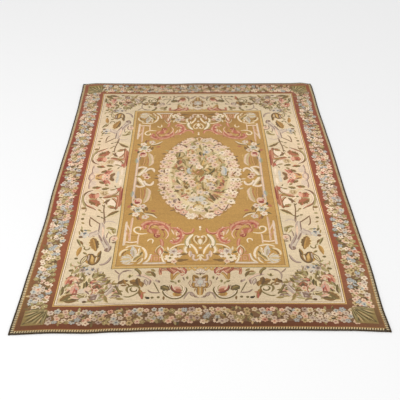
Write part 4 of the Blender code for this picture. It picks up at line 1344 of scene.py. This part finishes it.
@dataclass
class Cloth:
    """The woven cloth: the drawing merged into one sheet, with an underside and a rim."""

    drawing: Drawing
    lie: Lie
    rim_step: float = 0.0115
    sheet_step: float = 0.030
    longest: float = 0.024
    straight: float = 0.0006
    # Painted shade as well as fading: the darker back end and back of the field, the darker front rim and front left
    # corner, and the darker front terracotta stand for the fall of the light and the shade along the ridges' folds
    fades_and_painted_shade: tuple[Fade, ...] = (
        Fade(0.0, 1.37, 1.8, 0.90, 0.80, 0.77, 0.72), Fade(-0.95, -1.40, 0.35, 0.30, 0.80, 0.84, 0.88),
        Fade(0.95, -1.40, 0.30, 0.26, 0.88, 0.92, 0.96), Fade(0.0, -1.03, 1.2, 0.30, 0.80, 0.78, 0.76),
        Fade(0.0, -1.29, 1.8, 0.18, 0.69, 0.61, 0.55), Fade(-0.72, 0.1, 0.36, 1.1, 1.12, 1.03, 1.03),
        Fade(0.72, 0.1, 0.36, 1.1, 1.16, 1.09, 1.09), Fade(0.0, -1.30, 1.6, 0.32, 0.42, 0.62, 0.38, TERRACOTTA),
        Fade(0.0, 1.34, 1.6, 0.36, 0.90, 1.40, 1.36, TERRACOTTA),
        Fade(-0.88, -1.10, 0.24, 0.40, 0.74, 1.35, 1.06, TERRACOTTA),
        Fade(-0.88, -0.60, 0.25, 0.35, 0.96, 1.42, 1.20, TERRACOTTA),
        Fade(0.88, -1.15, 0.24, 0.40, 0.88, 1.75, 1.70, TERRACOTTA),
        Fade(-0.86, 0.1, 0.24, 1.0, 0.78, 0.50, 0.48, TERRACOTTA),
        Fade(0.86, 0.3, 0.24, 1.0, 0.82, 0.76, 0.76, TERRACOTTA),
        Fade(-0.20, -0.10, 0.5, 0.6, 0.90, 0.88, 0.84, GOLD), Fade(0.0, 0.86, 0.8, 0.50, 0.71, 0.66, 0.55, GOLD))
    top_share: float = 0.86
    map_gap: float = 0.01
    narrowest_band: float = 450.0

    @cached_property
    def half(self) -> Point:
        """Half the cloth's width and length, inside the bindings."""
        return (RUG_WIDTH / 2 - BINDING_WIDTH - SEAM_GAP, RUG_LENGTH / 2 - BINDING_WIDTH - SEAM_GAP)

    def rim(self) -> list[Point]:
        """Points along the cloth's edge, the way round that keeps the cloth on the left."""
        half_x, half_y = self.half
        along_x, along_y = round(2 * half_x / self.rim_step), round(2 * half_y / self.rim_step)
        places_x = [-half_x + 2 * half_x * k / along_x for k in range(along_x)]
        places_y = [-half_y + 2 * half_y * k / along_y for k in range(along_y)]
        return ([(x, -half_y) for x in places_x] + [(half_x, y) for y in places_y]
                + [(-x, half_y) for x in places_x] + [(-half_x, -y) for y in places_y])

    def ready(self, outline: tuple[Point, ...]) -> list[Point]:
        """Makes an outline ready for the merge.

        Args:
            outline: The outline as drawn.

        Returns:
            The outline kept inside the cloth, with its inside on the left and its long edges divided.
        """
        half_x, half_y = self.half
        kept = []
        for x, y in outline:
            point = (max(-half_x, min(half_x, x * MM)), max(-half_y, min(half_y, y * MM)))
            if not kept or math.dist(kept[-1], point) > SAME_PLACE:
                kept.append(point)
        if len(kept) > 1 and math.dist(kept[0], kept[-1]) <= SAME_PLACE:
            kept.pop()
        area = sum(a[0] * b[1] - b[0] * a[1] for a, b in zip(kept, kept[1:] + kept[:1]))
        if len(kept) < 3 or abs(area) < NO_AREA:
            return []
        if area < 0:
            kept.reverse()
        made = []
        for a, b in zip(kept, kept[1:] + kept[:1]):
            pieces = max(1, math.ceil(math.dist(a, b) / self.longest))
            made += [(a[0] + (b[0] - a[0]) * k / pieces, a[1] + (b[1] - a[1]) * k / pieces) for k in range(pieces)]
        return made

    @staticmethod
    def holds(outline: list[Point], x: float, y: float) -> bool:
        """Tells whether an outline has a point inside it."""
        inside = False
        u, v = outline[-1]
        for a, b in outline:
            if (b > y) != (v > y) and x < (u - a) * (y - b) / (v - b) + a:
                inside = not inside
            u, v = a, b
        return inside

    def merge(self, patches: list[Patch]) -> Sheet:
        """Cuts overlapping patches into one sheet, in which the top patch shows.

        Args:
            patches: The patches, the lowest first.

        Returns:
            The sheet, still cut along the outlines that don't show.
        """
        points, faces, owners, outlines = [], [], [], []
        for number, outline in enumerate([self.rim(), *(self.ready(patch.outline) for patch in patches)]):
            if outline:
                faces.append(list(range(len(points), len(points) + len(outline))))
                owners.append(number - 1)
                outlines.append(outline)
                points += outline
        cut = delaunay_2d_cdt([Vector(point) for point in points], [], faces, 0, CUT_TOLERANCE, True)
        places = [tuple(point) for point in cut[0]]
        kept, tones = [], []
        for triangle, ids in zip(cut[2], cut[5]):
            if 0 in ids and len(ids) > 1:
                a, b, c = (places[index] for index in triangle)
                x, y = (a[0] + b[0] + c[0]) / 3, (a[1] + b[1] + c[1]) / 3
                top = next((face for face in sorted(ids, reverse=True) if self.holds(outlines[face], x, y)), 0)
                if top:
                    kept.append(tuple(triangle))
                    tones.append((patches[owners[top]].dye, patches[owners[top]].tone))
        return Sheet(places, kept, tones)

    def fences(self, sheet: Sheet) -> dict[tuple[int, int], Tone | None]:
        """Finds the outlines that show, and drops their needless points.

        Args:
            sheet: The sheet as merged.

        Returns:
            The yarn on the left of each such edge, for both its directions, and None for outside the cloth.
        """
        left = {}
        for (a, b, c), tone in zip(sheet.triangles, sheet.tones):
            left[a, b] = left[b, c] = left[c, a] = tone
        fences, beside = {}, {}
        for (a, b), tone in left.items():
            other = left.get((b, a))
            if other != tone:
                fences[a, b], fences[b, a] = tone, other
                beside.setdefault(a, set()).add(b)
                beside.setdefault(b, set()).add(a)
        for place, near in beside.items():
            if len(near) != 2:
                continue
            a, b = near
            start, end, middle = sheet.points[a], sheet.points[b], sheet.points[place]
            reach = math.dist(start, end)
            if reach > self.longest or (a, b) in fences or None in (fences[a, place], fences[place, a]):
                continue
            off = abs((end[0] - start[0]) * (middle[1] - start[1]) - (end[1] - start[1]) * (middle[0] - start[0]))
            if off < self.straight * reach:
                fences[a, b], fences[b, a] = fences[a, place], fences[b, place]
                for gone in ((a, place), (place, a), (b, place), (place, b)):
                    del fences[gone]
                beside[a].symmetric_difference_update((place, b))
                beside[b].symmetric_difference_update((place, a))
                near.clear()
        return fences

    def thin(self, sheet: Sheet) -> Sheet:
        """Cuts the sheet again, along the outlines that show and over an even net of points.

        Args:
            sheet: The sheet as merged.

        Returns:
            The thinner sheet.
        """
        fences = self.fences(sheet)
        number, points, edges, sides = {}, [], [], []
        for (a, b), tone in fences.items():
            if a < b:
                for end in (a, b):
                    if end not in number:
                        number[end] = len(points)
                        points.append(sheet.points[end])
                edges.append((number[a], number[b]))
                sides.append((tone, fences[b, a]))
        half_x, half_y = self.half
        count_x, count_y = round(2 * half_x / self.sheet_step), round(2 * half_y / self.sheet_step)
        net = [(-half_x + 2 * half_x * i / count_x, -half_y + 2 * half_y * j / count_y)
               for j in range(1, count_y) for i in range(1, count_x)]
        cut = delaunay_2d_cdt([Vector(point) for point in points + net], edges, [], 0, CUT_TOLERANCE, True)
        places, walls = cut[0], {}
        for (a, b), ids in zip(cut[1], cut[4]):
            if ids:
                start, end = edges[ids[0]]
                same = (places[b] - places[a]).dot(Vector(points[end]) - Vector(points[start])) > 0
                walls[a, b], walls[b, a] = sides[ids[0]] if same else sides[ids[0]][::-1]
        return self.filled([tuple(place) for place in places], [tuple(face) for face in cut[2]], walls)

    @staticmethod
    def filled(points: list[Point], triangles: list[tuple[int, ...]],
               walls: dict[tuple[int, int], Tone | None]) -> Sheet:
        """Gives each triangle the yarn that most walls of its area name.

        Args:
            points: The sheet's points.
            triangles: Its triangles.
            walls: The yarn on the left of each edge that parts two areas.

        Returns:
            The sheet without what lies outside the cloth.
        """
        at = {}
        for k, (a, b, c) in enumerate(triangles):
            at[a, b] = at[b, c] = at[c, a] = k
        votes = {}
        for edge, tone in walls.items():
            if edge in at:
                votes.setdefault(at[edge], []).append(tone)
        tones, seen = {}, set()
        for first in range(len(triangles)):
            if first in seen:
                continue
            seen.add(first)
            area, ahead, count = [], [first], Counter()
            while ahead:
                k = ahead.pop()
                area.append(k)
                count.update(votes.get(k, ()))
                a, b, c = triangles[k]
                for edge in ((b, a), (c, b), (a, c)):
                    beyond = at.get(edge)
                    if beyond is not None and beyond not in seen and edge not in walls:
                        seen.add(beyond)
                        ahead.append(beyond)
            if count:
                tones.update(dict.fromkeys(area, count.most_common(1)[0][0]))
        kept = [k for k in range(len(triangles)) if tones.get(k)]
        return Sheet(points, [triangles[k] for k in kept], [tones[k] for k in kept])

    def faded_and_shaded(self, dye: Dye, x: float, y: float) -> tuple[float, float, float]:
        """A dye's colour at a place, with the rug's fading and its painted shade."""
        colour = list(dye.linear)
        for fade_and_shade in self.fades_and_painted_shade:
            if fade_and_shade.only in (None, dye):
                near = smooth(1.0 - math.hypot((x - fade_and_shade.x) / fade_and_shade.reach_x, (y - fade_and_shade.y) / fade_and_shade.reach_y))
                for k, factor in enumerate((fade_and_shade.red, fade_and_shade.green, fade_and_shade.blue)):
                    colour[k] *= 1.0 + (factor - 1.0) * near
        return tuple(colour)

    def build(self) -> bpy.types.Object:
        """Builds the cloth as one closed mesh with the yarn colours on its face corners.

        Returns:
            The cloth's object.
        """
        upper = self.thin(self.merge(self.drawing.patches))
        lower = self.thin(self.merge([patch for patch in self.drawing.patches if self.is_band(patch)]))
        shift = len(upper.points)
        verts = [self.lie.place(x, y, CLOTH_THICKNESS) for x, y in upper.points]
        verts += [self.lie.place(x, y, 0.0) for x, y in lower.points]
        wall = self.wall(upper.points, lower.points)
        faces = [*upper.triangles, *(tuple(shift + i for i in reversed(face)) for face in lower.triangles), *wall]
        tones = [*upper.tones, *lower.tones, *[(MOSS, 1.0)] * len(wall)]
        mesh = bpy.data.meshes.new("rug_cloth")
        mesh.from_pydata(verts, [], faces)
        mesh.polygons.foreach_set("use_smooth", [True] * len(mesh.polygons))
        whole, known = upper.points + lower.points, {}
        colours, places = [], []
        for number, (face, (dye, tone)) in enumerate(zip(faces, tones)):
            underneath = number >= len(upper.triangles)
            for index in face:
                if (index, dye) not in known:
                    known[index, dye] = self.faded_and_shaded(dye, *whole[index])
                colours += [*(c * tone for c in known[index, dye]), 1.0]
                places += self.unfolded(*whole[index], underneath)
        mesh.attributes.new("dye", "FLOAT_COLOR", "CORNER").data.foreach_set("color", colours)
        mesh.uv_layers.new(name="OFBake").data.foreach_set("uv", places)
        mesh.update()
        cloth = bpy.data.objects.new("rug_cloth", mesh)
        bpy.context.scene.collection.objects.link(cloth)
        return cloth

    def is_band(self, patch: Patch) -> bool:
        """True for the plain bands, which also show on the underside: rectangles round the rug's middle."""
        corners = {(abs(x), abs(y)) for x, y in patch.outline}
        return len(patch.outline) == 4 and len(corners) == 1 and corners.pop()[0] > self.narrowest_band

    def unfolded(self, x: float, y: float, underneath: bool) -> Point:
        """A point's place in the cloth's own UV map: the upper side, and the underside in a strip beside it."""
        across, along = (x / self.half[0] + 1) / 2, (y / self.half[1] + 1) / 2
        if underneath:
            return self.top_share + self.map_gap + across * (1 - self.map_gap - self.top_share), along
        return across * self.top_share, along

    def wall(self, upper: list[Point], lower: list[Point]) -> list[tuple[int, ...]]:
        """The wall that joins the upper side to the underside.

        Args:
            upper: The upper side's points.
            lower: The underside's points.

        Returns:
            The wall's faces.
        """
        faces = []
        for top, bottom in zip(self.on_edge(upper), self.on_edge(lower)):
            k = 0
            for (here, a), (after, b) in zip(top, top[1:]):
                low = k
                while k + 1 < len(bottom) and bottom[k + 1][0] <= after + SAME_PLACE:
                    k += 1
                corners = [a, *(len(upper) + bottom[i][1] for i in range(low, k + 1)), b]
                if len(corners) > 2:
                    faces.append(tuple(corners))
        return faces

    def on_edge(self, plan: list[Point]) -> list[list[tuple[float, int]]]:
        """The points on each of the cloth's four edges, as places along it, in order."""
        half_x, half_y = self.half
        sides = [[], [], [], []]
        for i, (x, y) in enumerate(plan):
            edges = ((y + half_y, x), (x - half_x, y), (y - half_y, -x), (x + half_x, -y))
            for side, (off, place) in enumerate(edges):
                if abs(off) < SAME_PLACE:
                    sides[side].append((place, i))
        return [sorted(side) for side in sides]


class Side(Enum):
    """An edge of the rug: its name, the way that is outwards and the way that its binding runs."""

    LEFT = ("left", (-1, 0), (0, 1))
    RIGHT = ("right", (1, 0), (0, 1))
    FRONT = ("front", (0, -1), (1, 0))
    BACK = ("back", (0, 1), (1, 0))

    @property
    def word(self) -> str:
        """The side's name."""
        return self.value[0]

    @property
    def outward(self) -> tuple[int, int]:
        """The direction away from the rug."""
        return self.value[1]

    @property
    def along(self) -> tuple[int, int]:
        """The direction that the binding runs in."""
        return self.value[2]


@dataclass
class Binding:
    """A length of overcast binding beside one edge: a half-round roll with slanted wraps of yarn."""

    side: Side
    lie: Lie
    wrap_pitch: float = 0.0034
    ring_step: float = 0.0017
    wrap_height: float = 0.0005
    wrap_slant: float = 0.9
    first_wrap: float = 1.25
    arc_points: int = 6
    arc_middle: float = 0.45
    seam_top: float = 0.80
    seam_foot: float = 0.12
    unevenness: float = 0.16
    seed: int = 7

    @property
    def half_length(self) -> float:
        """Half the binding's length: the side ones run on over the ends of the others."""
        if self.side in (Side.LEFT, Side.RIGHT):
            return RUG_LENGTH / 2
        return RUG_WIDTH / 2 - BINDING_WIDTH - SEAM_GAP

    def section(self, place: float) -> list[tuple[float, float]]:
        """The roll's section at a place along it.

        Args:
            place: Distance along the edge from its middle.

        Returns:
            Distances outwards and heights, from the seam round.
        """
        middle = BINDING_WIDTH * self.arc_middle
        points = [(0.0, BINDING_HEIGHT * self.seam_top), (0.0, BINDING_HEIGHT * self.seam_foot)]
        for step in range(self.arc_points):
            share = step / (self.arc_points - 1)
            angle = math.radians(-90.0 + 180.0 * share)
            swell = math.sin(math.tau * (place / self.wrap_pitch - self.wrap_slant * share)) * self.wrap_height
            out = middle + (BINDING_WIDTH - middle - self.wrap_height + swell) * math.cos(angle)
            rise = (BINDING_HEIGHT / 2 + (swell if share > 0.5 else 0.0)) * math.sin(angle)
            points.append((out, BINDING_HEIGHT / 2 + rise))
        return points

    def build(self) -> bpy.types.Object:
        """Builds the binding as one closed mesh with its yarn colours on its face corners.

        Returns:
            The binding's object.
        """
        half = self.half_length
        edge = (RUG_WIDTH / 2 if self.side.outward[0] else RUG_LENGTH / 2) - BINDING_WIDTH
        count = round(2 * half / self.ring_step)
        verts, faces = [], []
        for ring in range(count + 1):
            place = -half + 2 * half * ring / count
            for out, height in self.section(place):
                x = self.side.outward[0] * (edge + out) + self.side.along[0] * place
                y = self.side.outward[1] * (edge + out) + self.side.along[1] * place
                verts.append(self.lie.place(x, y, height))
        size = self.arc_points + 2
        flip = self.side in (Side.LEFT, Side.BACK)
        for ring in range(count):
            for k in range(size):
                a, b = ring * size + k, ring * size + (k + 1) % size
                face = (a, b, b + size, a + size)
                faces.append(tuple(reversed(face)) if flip else face)
        ends = [tuple(range(size)), tuple(count * size + k for k in range(size))]
        faces += [ends[0] if flip else tuple(reversed(ends[0])), tuple(reversed(ends[1])) if flip else ends[1]]
        mesh = bpy.data.meshes.new(f"binding_{self.side.word}_wound")
        mesh.from_pydata(verts, [], faces)
        mesh.polygons.foreach_set("use_smooth", [True] * len(mesh.polygons))
        self.colour(mesh, half / count)
        binding = bpy.data.objects.new(f"binding_{self.side.word}_wound", mesh)
        bpy.context.scene.collection.objects.link(binding)
        return binding

    def colour(self, mesh: bpy.types.Mesh, half_step: float) -> None:
        """Gives each wrap of yarn its own shade.

        Args:
            mesh: The binding's mesh.
            half_step: Half the distance between two rings.
        """
        dice = random.Random(self.seed + list(Side).index(self.side))
        size = self.arc_points + 2
        wraps = [1.0 + dice.uniform(-self.unevenness, self.unevenness)
                 for _ in range(round(2 * self.half_length / self.wrap_pitch) + 3)]
        colours = []
        for polygon in mesh.polygons:
            ring, k = divmod(polygon.index, size)
            place = (2 * ring + 1) * half_step
            share = max(0, k - 1) / self.arc_points
            # wraps part a quarter pitch before the relief's zero, and the slant starts one wrap before the roll
            number = int(place / self.wrap_pitch - self.wrap_slant * share + self.first_wrap)
            wrap = wraps[min(len(wraps) - 1, number)]
            colours += [*(c * wrap for c in PEAT.linear), 1.0] * len(polygon.vertices)
        mesh.attributes.new("dye", "FLOAT_COLOR", "CORNER").data.foreach_set("color", colours)


class Sockets:
    """A small helper that adds nodes to a tree and joins them."""

    def __init__(self, tree: bpy.types.NodeTree) -> None:
        """Keeps the tree that nodes go into."""
        self.tree = tree

    def node(self, kind: str, **settings: object) -> bpy.types.Node:
        """Adds a node and sets its properties.

        Args:
            kind: The node's type.
            settings: Its properties by name.

        Returns:
            The node.
        """
        node = self.tree.nodes.new(kind)
        for name, value in settings.items():
            setattr(node, name, value)
        return node

    def join(self, source: bpy.types.NodeSocket, target: bpy.types.NodeSocket) -> None:
        """Links two sockets."""
        self.tree.links.new(source, target)

    def math(self, operation: str, first: "bpy.types.NodeSocket | float", second: "bpy.types.NodeSocket | float",
             third: "bpy.types.NodeSocket | float" = 0.0) -> bpy.types.NodeSocket:
        """Adds a maths node.

        Args:
            operation: What it does.
            first: A socket or a number.
            second: A socket or a number.
            third: A socket or a number.

        Returns:
            Its output.
        """
        node = self.node("ShaderNodeMath", operation=operation)
        for socket, value in zip(node.inputs, (first, second, third)):
            if isinstance(value, bpy.types.NodeSocket):
                self.join(value, socket)
            else:
                socket.default_value = value
        return node.outputs[0]

    def scaled(self, vector: bpy.types.NodeSocket, scale: tuple[float, float, float]) -> bpy.types.NodeSocket:
        """Multiplies a vector by a scale for each axis."""
        node = self.node("ShaderNodeVectorMath", operation="MULTIPLY")
        self.join(vector, node.inputs[0])
        node.inputs[1].default_value = scale
        return node.outputs["Vector"]


def new_group(name: str, inputs: tuple[tuple[str, str, float], ...], outputs: tuple[str, ...]) -> bpy.types.NodeTree:
    """Starts a shader node group.

    Args:
        name: The group's name.
        inputs: Each input's name, socket type and first value.
        outputs: The outputs' names, all of them numbers.

    Returns:
        The group's tree.
    """
    tree = bpy.data.node_groups.new(name, "ShaderNodeTree")
    for label, kind, value in inputs:
        socket = tree.interface.new_socket(label, in_out="INPUT", socket_type=kind)
        if kind == "NodeSocketFloat":
            socket.default_value = value
    for label in outputs:
        tree.interface.new_socket(label, in_out="OUTPUT", socket_type="NodeSocketFloat")
    return tree


@dataclass(frozen=True)
class AbrashGroup:
    """The faint streaks of uneven dyeing that run across the rug, as a factor about 1."""

    name: str = "abrash_streaks"
    wide: tuple[float, float, float] = (0.9, 11.0, 1.0)
    fine: tuple[float, float, float] = (2.6, 120.0, 1.0)
    detail: float = 3.0
    contrast: float = 4.0

    def build(self) -> bpy.types.NodeTree:
        """Builds the group.

        Returns:
            The group's tree, with a Place and a Strength input and a Shade output.
        """
        inputs = (("Place", "NodeSocketVector", 0.0), ("Strength", "NodeSocketFloat", 0.05))
        tree = new_group(self.name, inputs, ("Shade",))
        sockets = Sockets(tree)
        given, made = sockets.node("NodeGroupInput"), sockets.node("NodeGroupOutput")
        streaks = []
        for scale in (self.wide, self.fine):
            noise = sockets.node("ShaderNodeTexNoise", noise_dimensions="3D")
            noise.inputs["Scale"].default_value = 1.0
            noise.inputs["Detail"].default_value = self.detail
            sockets.join(sockets.scaled(given.outputs["Place"], scale), noise.inputs["Vector"])
            streaks.append(sockets.math("SUBTRACT", noise.outputs["Fac"], 0.5))
        both = sockets.math("ADD", streaks[0], streaks[1])
        strength = sockets.math("MULTIPLY", given.outputs["Strength"], self.contrast)
        sockets.join(sockets.math("MULTIPLY_ADD", both, strength, 1.0), made.inputs["Shade"])
        return tree


@dataclass(frozen=True)
class StitchGroup:
    """The stitch to stitch unevenness of hand-woven yarn, as a factor about 1."""

    name: str = "stitch_grain"
    stitch: tuple[float, float, float] = (390.0, 520.0, 390.0)
    mottle_scale: float = 115.0
    detail: float = 2.0
    grain_contrast: float = 2.0
    mottle_contrast: float = 4.0

    def build(self) -> bpy.types.NodeTree:
        """Builds the group.

        Returns:
            The group's tree, with Place, Grain and Mottle inputs and a Shade output.
        """
        tree = new_group(self.name, (("Place", "NodeSocketVector", 0.0), ("Grain", "NodeSocketFloat", 0.06),
                                     ("Mottle", "NodeSocketFloat", 0.08)), ("Shade",))
        sockets = Sockets(tree)
        given, made = sockets.node("NodeGroupInput"), sockets.node("NodeGroupOutput")
        floor = sockets.node("ShaderNodeVectorMath", operation="FLOOR")
        sockets.join(sockets.scaled(given.outputs["Place"], self.stitch), floor.inputs[0])
        white = sockets.node("ShaderNodeTexWhiteNoise", noise_dimensions="3D")
        sockets.join(floor.outputs["Vector"], white.inputs["Vector"])
        mottle = sockets.node("ShaderNodeTexNoise", noise_dimensions="3D")
        mottle.inputs["Scale"].default_value = self.mottle_scale
        mottle.inputs["Detail"].default_value = self.detail
        sockets.join(given.outputs["Place"], mottle.inputs["Vector"])
        grain = sockets.math("MULTIPLY", sockets.math("SUBTRACT", white.outputs["Value"], 0.5),
                             sockets.math("MULTIPLY", given.outputs["Grain"], self.grain_contrast))
        spots = sockets.math("MULTIPLY", sockets.math("SUBTRACT", mottle.outputs["Fac"], 0.5),
                             sockets.math("MULTIPLY", given.outputs["Mottle"], self.mottle_contrast))
        sockets.join(sockets.math("ADD", sockets.math("ADD", grain, spots), 1.0), made.inputs["Shade"])
        return tree


@dataclass(frozen=True)
class WeaveGroup:
    """The relief of a flat weave: ribs along the warps and small steps from weft to weft."""

    name: str = "weave_relief"
    rib: float = 0.0026
    weft: float = 0.0015
    weft_share: float = 0.25

    def build(self) -> bpy.types.NodeTree:
        """Builds the group.

        Returns:
            The group's tree, with a Place input and a Height output.
        """
        tree = new_group(self.name, (("Place", "NodeSocketVector", 0.0),), ("Height",))
        sockets = Sockets(tree)
        given, made = sockets.node("NodeGroupInput"), sockets.node("NodeGroupOutput")
        split = sockets.node("ShaderNodeSeparateXYZ")
        sockets.join(given.outputs["Place"], split.inputs[0])
        across = sockets.math("SINE", sockets.math("MULTIPLY", split.outputs["X"], math.pi / self.rib), 0.0)
        along = sockets.math("SINE", sockets.math("MULTIPLY", split.outputs["Y"], math.tau / self.weft), 0.0)
        ribs = sockets.math("ABSOLUTE", across, 0.0)
        sockets.join(sockets.math("MULTIPLY_ADD", along, self.weft_share, ribs), made.inputs["Height"])
        return tree


@dataclass(frozen=True)
class WoolFinish:
    """Matt wool whose colour comes from the mesh's dye attribute."""

    name: str
    abrash: float
    grain: float
    mottle: float
    relief: float
    roughness: float = 0.94
    specular: float = 0.2
    sheen: float = 0.12
    sheen_roughness: float = 0.6
    relief_height: float = 0.0006

    def build(self, groups: dict[str, bpy.types.NodeTree]) -> bpy.types.Material:
        """Builds the material.

        Args:
            groups: The shared node groups by name.

        Returns:
            The material.
        """
        material = bpy.data.materials.new(self.name)
        material.use_nodes = True
        sockets = Sockets(material.node_tree)
        shader = material.node_tree.nodes["Principled BSDF"]
        shader.inputs["Roughness"].default_value = self.roughness
        shader.inputs["Specular IOR Level"].default_value = self.specular
        shader.inputs["Sheen Weight"].default_value = self.sheen
        shader.inputs["Sheen Roughness"].default_value = self.sheen_roughness
        place = sockets.node("ShaderNodeTexCoord").outputs["Object"]
        dye = sockets.node("ShaderNodeAttribute", attribute_name="dye")
        abrash = sockets.node("ShaderNodeGroup", node_tree=groups["abrash_streaks"])
        abrash.inputs["Strength"].default_value = self.abrash
        grain = sockets.node("ShaderNodeGroup", node_tree=groups["stitch_grain"])
        grain.inputs["Grain"].default_value = self.grain
        grain.inputs["Mottle"].default_value = self.mottle
        weave = sockets.node("ShaderNodeGroup", node_tree=groups["weave_relief"])
        for node in (abrash, grain, weave):
            sockets.join(place, node.inputs["Place"])
        shade = sockets.math("MULTIPLY", abrash.outputs["Shade"], grain.outputs["Shade"])
        tint = sockets.node("ShaderNodeVectorMath", operation="SCALE")
        sockets.join(dye.outputs["Color"], tint.inputs[0])
        sockets.join(shade, tint.inputs["Scale"])
        sockets.join(tint.outputs["Vector"], shader.inputs["Base Color"])
        bump = sockets.node("ShaderNodeBump")
        bump.inputs["Strength"].default_value = self.relief
        bump.inputs["Distance"].default_value = self.relief_height
        sockets.join(weave.outputs["Height"], bump.inputs["Height"])
        sockets.join(bump.outputs["Normal"], shader.inputs["Normal"])
        return material


@dataclass
class Studio:
    """The pale floor, the soft light and the camera."""

    floor_size: float = 60.0
    floor_shade: float = 0.90
    floor_roughness: float = 0.9
    floor_specular: float = 0.1
    camera_place: tuple[float, float, float] = (-0.0185, -3.775, 2.4516)
    camera_turn: tuple[float, float, float] = (55.169, 0.011, -0.422)
    lens: float = 63.29
    sky: float = 0.86
    lamp_power: float = 132.0
    lamp_size: float = 3.4
    lamp_place: tuple[float, float, float] = (-3.0, -3.4, 5.4)

    def build(self) -> None:
        """Places everything that isn't the rug."""
        self.build_floor()
        self.build_light()
        self.build_camera()

    def build_floor(self) -> None:
        """Adds the floor."""
        bpy.ops.object.select_all(action="DESELECT")
        bpy.ops.mesh.primitive_plane_add(size=self.floor_size, location=(0.0, 0.0, 0.0))
        floor = bpy.context.object
        floor.name = "floor"
        material = bpy.data.materials.new("pale_floor")
        material.use_nodes = True
        shader = material.node_tree.nodes["Principled BSDF"]
        shader.inputs["Base Color"].default_value = (self.floor_shade, self.floor_shade, self.floor_shade, 1.0)
        shader.inputs["Roughness"].default_value = self.floor_roughness
        shader.inputs["Specular IOR Level"].default_value = self.floor_specular
        floor.data.materials.append(material)

    def build_light(self) -> None:
        """Adds an even sky and one large soft lamp."""
        scene = bpy.context.scene
        scene.world = scene.world or bpy.data.worlds.new("studio")
        scene.world.use_nodes = True
        scene.world.node_tree.nodes["Background"].inputs["Color"].default_value = (1.0, 1.0, 1.0, 1.0)
        scene.world.node_tree.nodes["Background"].inputs["Strength"].default_value = self.sky
        bpy.ops.object.light_add(type="AREA", location=self.lamp_place)
        lamp = bpy.context.object
        lamp.name = "soft_lamp"
        lamp.data.energy = self.lamp_power
        lamp.data.shape = "SQUARE"
        lamp.data.size = self.lamp_size
        lamp.rotation_euler = (Vector((0.0, 0.0, 0.0)) - Vector(self.lamp_place)).to_track_quat("-Z", "Y").to_euler()

    def build_camera(self) -> None:
        """Adds the camera and the plain view transform."""
        turn = tuple(math.radians(angle) for angle in self.camera_turn)
        bpy.ops.object.camera_add(location=self.camera_place, rotation=turn)
        camera = bpy.context.object
        camera.name = "camera"
        camera.data.lens = self.lens
        camera.data.dof.use_dof = False
        bpy.context.scene.camera = camera
        bpy.context.scene.view_settings.view_transform = "Standard"


def draw_pattern() -> Drawing:
    """Draws the whole rug's pattern, the lowest layers first.

    Returns:
        The drawing.
    """
    drawing, bands = Drawing(), Bands()
    for section in (bands, Garland(bands), CornerBouquet(), SideBorder(), EndBorder(), Field(), Medallion()):
        first = len(drawing.patches)
        section.draw(drawing)
        log.info("%s: %d patches", type(section).__name__, len(drawing.patches) - first)
    return drawing


def main() -> None:
    """Builds the rug's cloth and bindings, then the studio."""
    logging.basicConfig(level=logging.INFO, format="%(message)s")
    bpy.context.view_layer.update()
    groups = {group.name: group.build() for group in (AbrashGroup(), StitchGroup(), WeaveGroup())}
    woven = WoolFinish("rug_wool_woven", abrash=0.07, grain=0.10, mottle=0.12, relief=0.35).build(groups)
    wound = WoolFinish("binding_wool_wound", abrash=0.02, grain=0.06, mottle=0.10, relief=0.0).build(groups)
    lie = Lie()
    for side in Side:
        binding = Binding(side, lie).build()
        binding.data.materials.append(wound)
        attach(binding, "root")
        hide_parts(f"binding_{side.word}")
        log.info("%s: %d faces", binding.name, len(binding.data.polygons))
    cloth = Cloth(draw_pattern(), lie).build()
    cloth.data.materials.append(woven)
    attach(cloth, "root")
    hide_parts("rug")
    log.info("%s: %d faces", cloth.name, len(cloth.data.polygons))
    Studio().build()


if __name__ == "__main__":
    main()
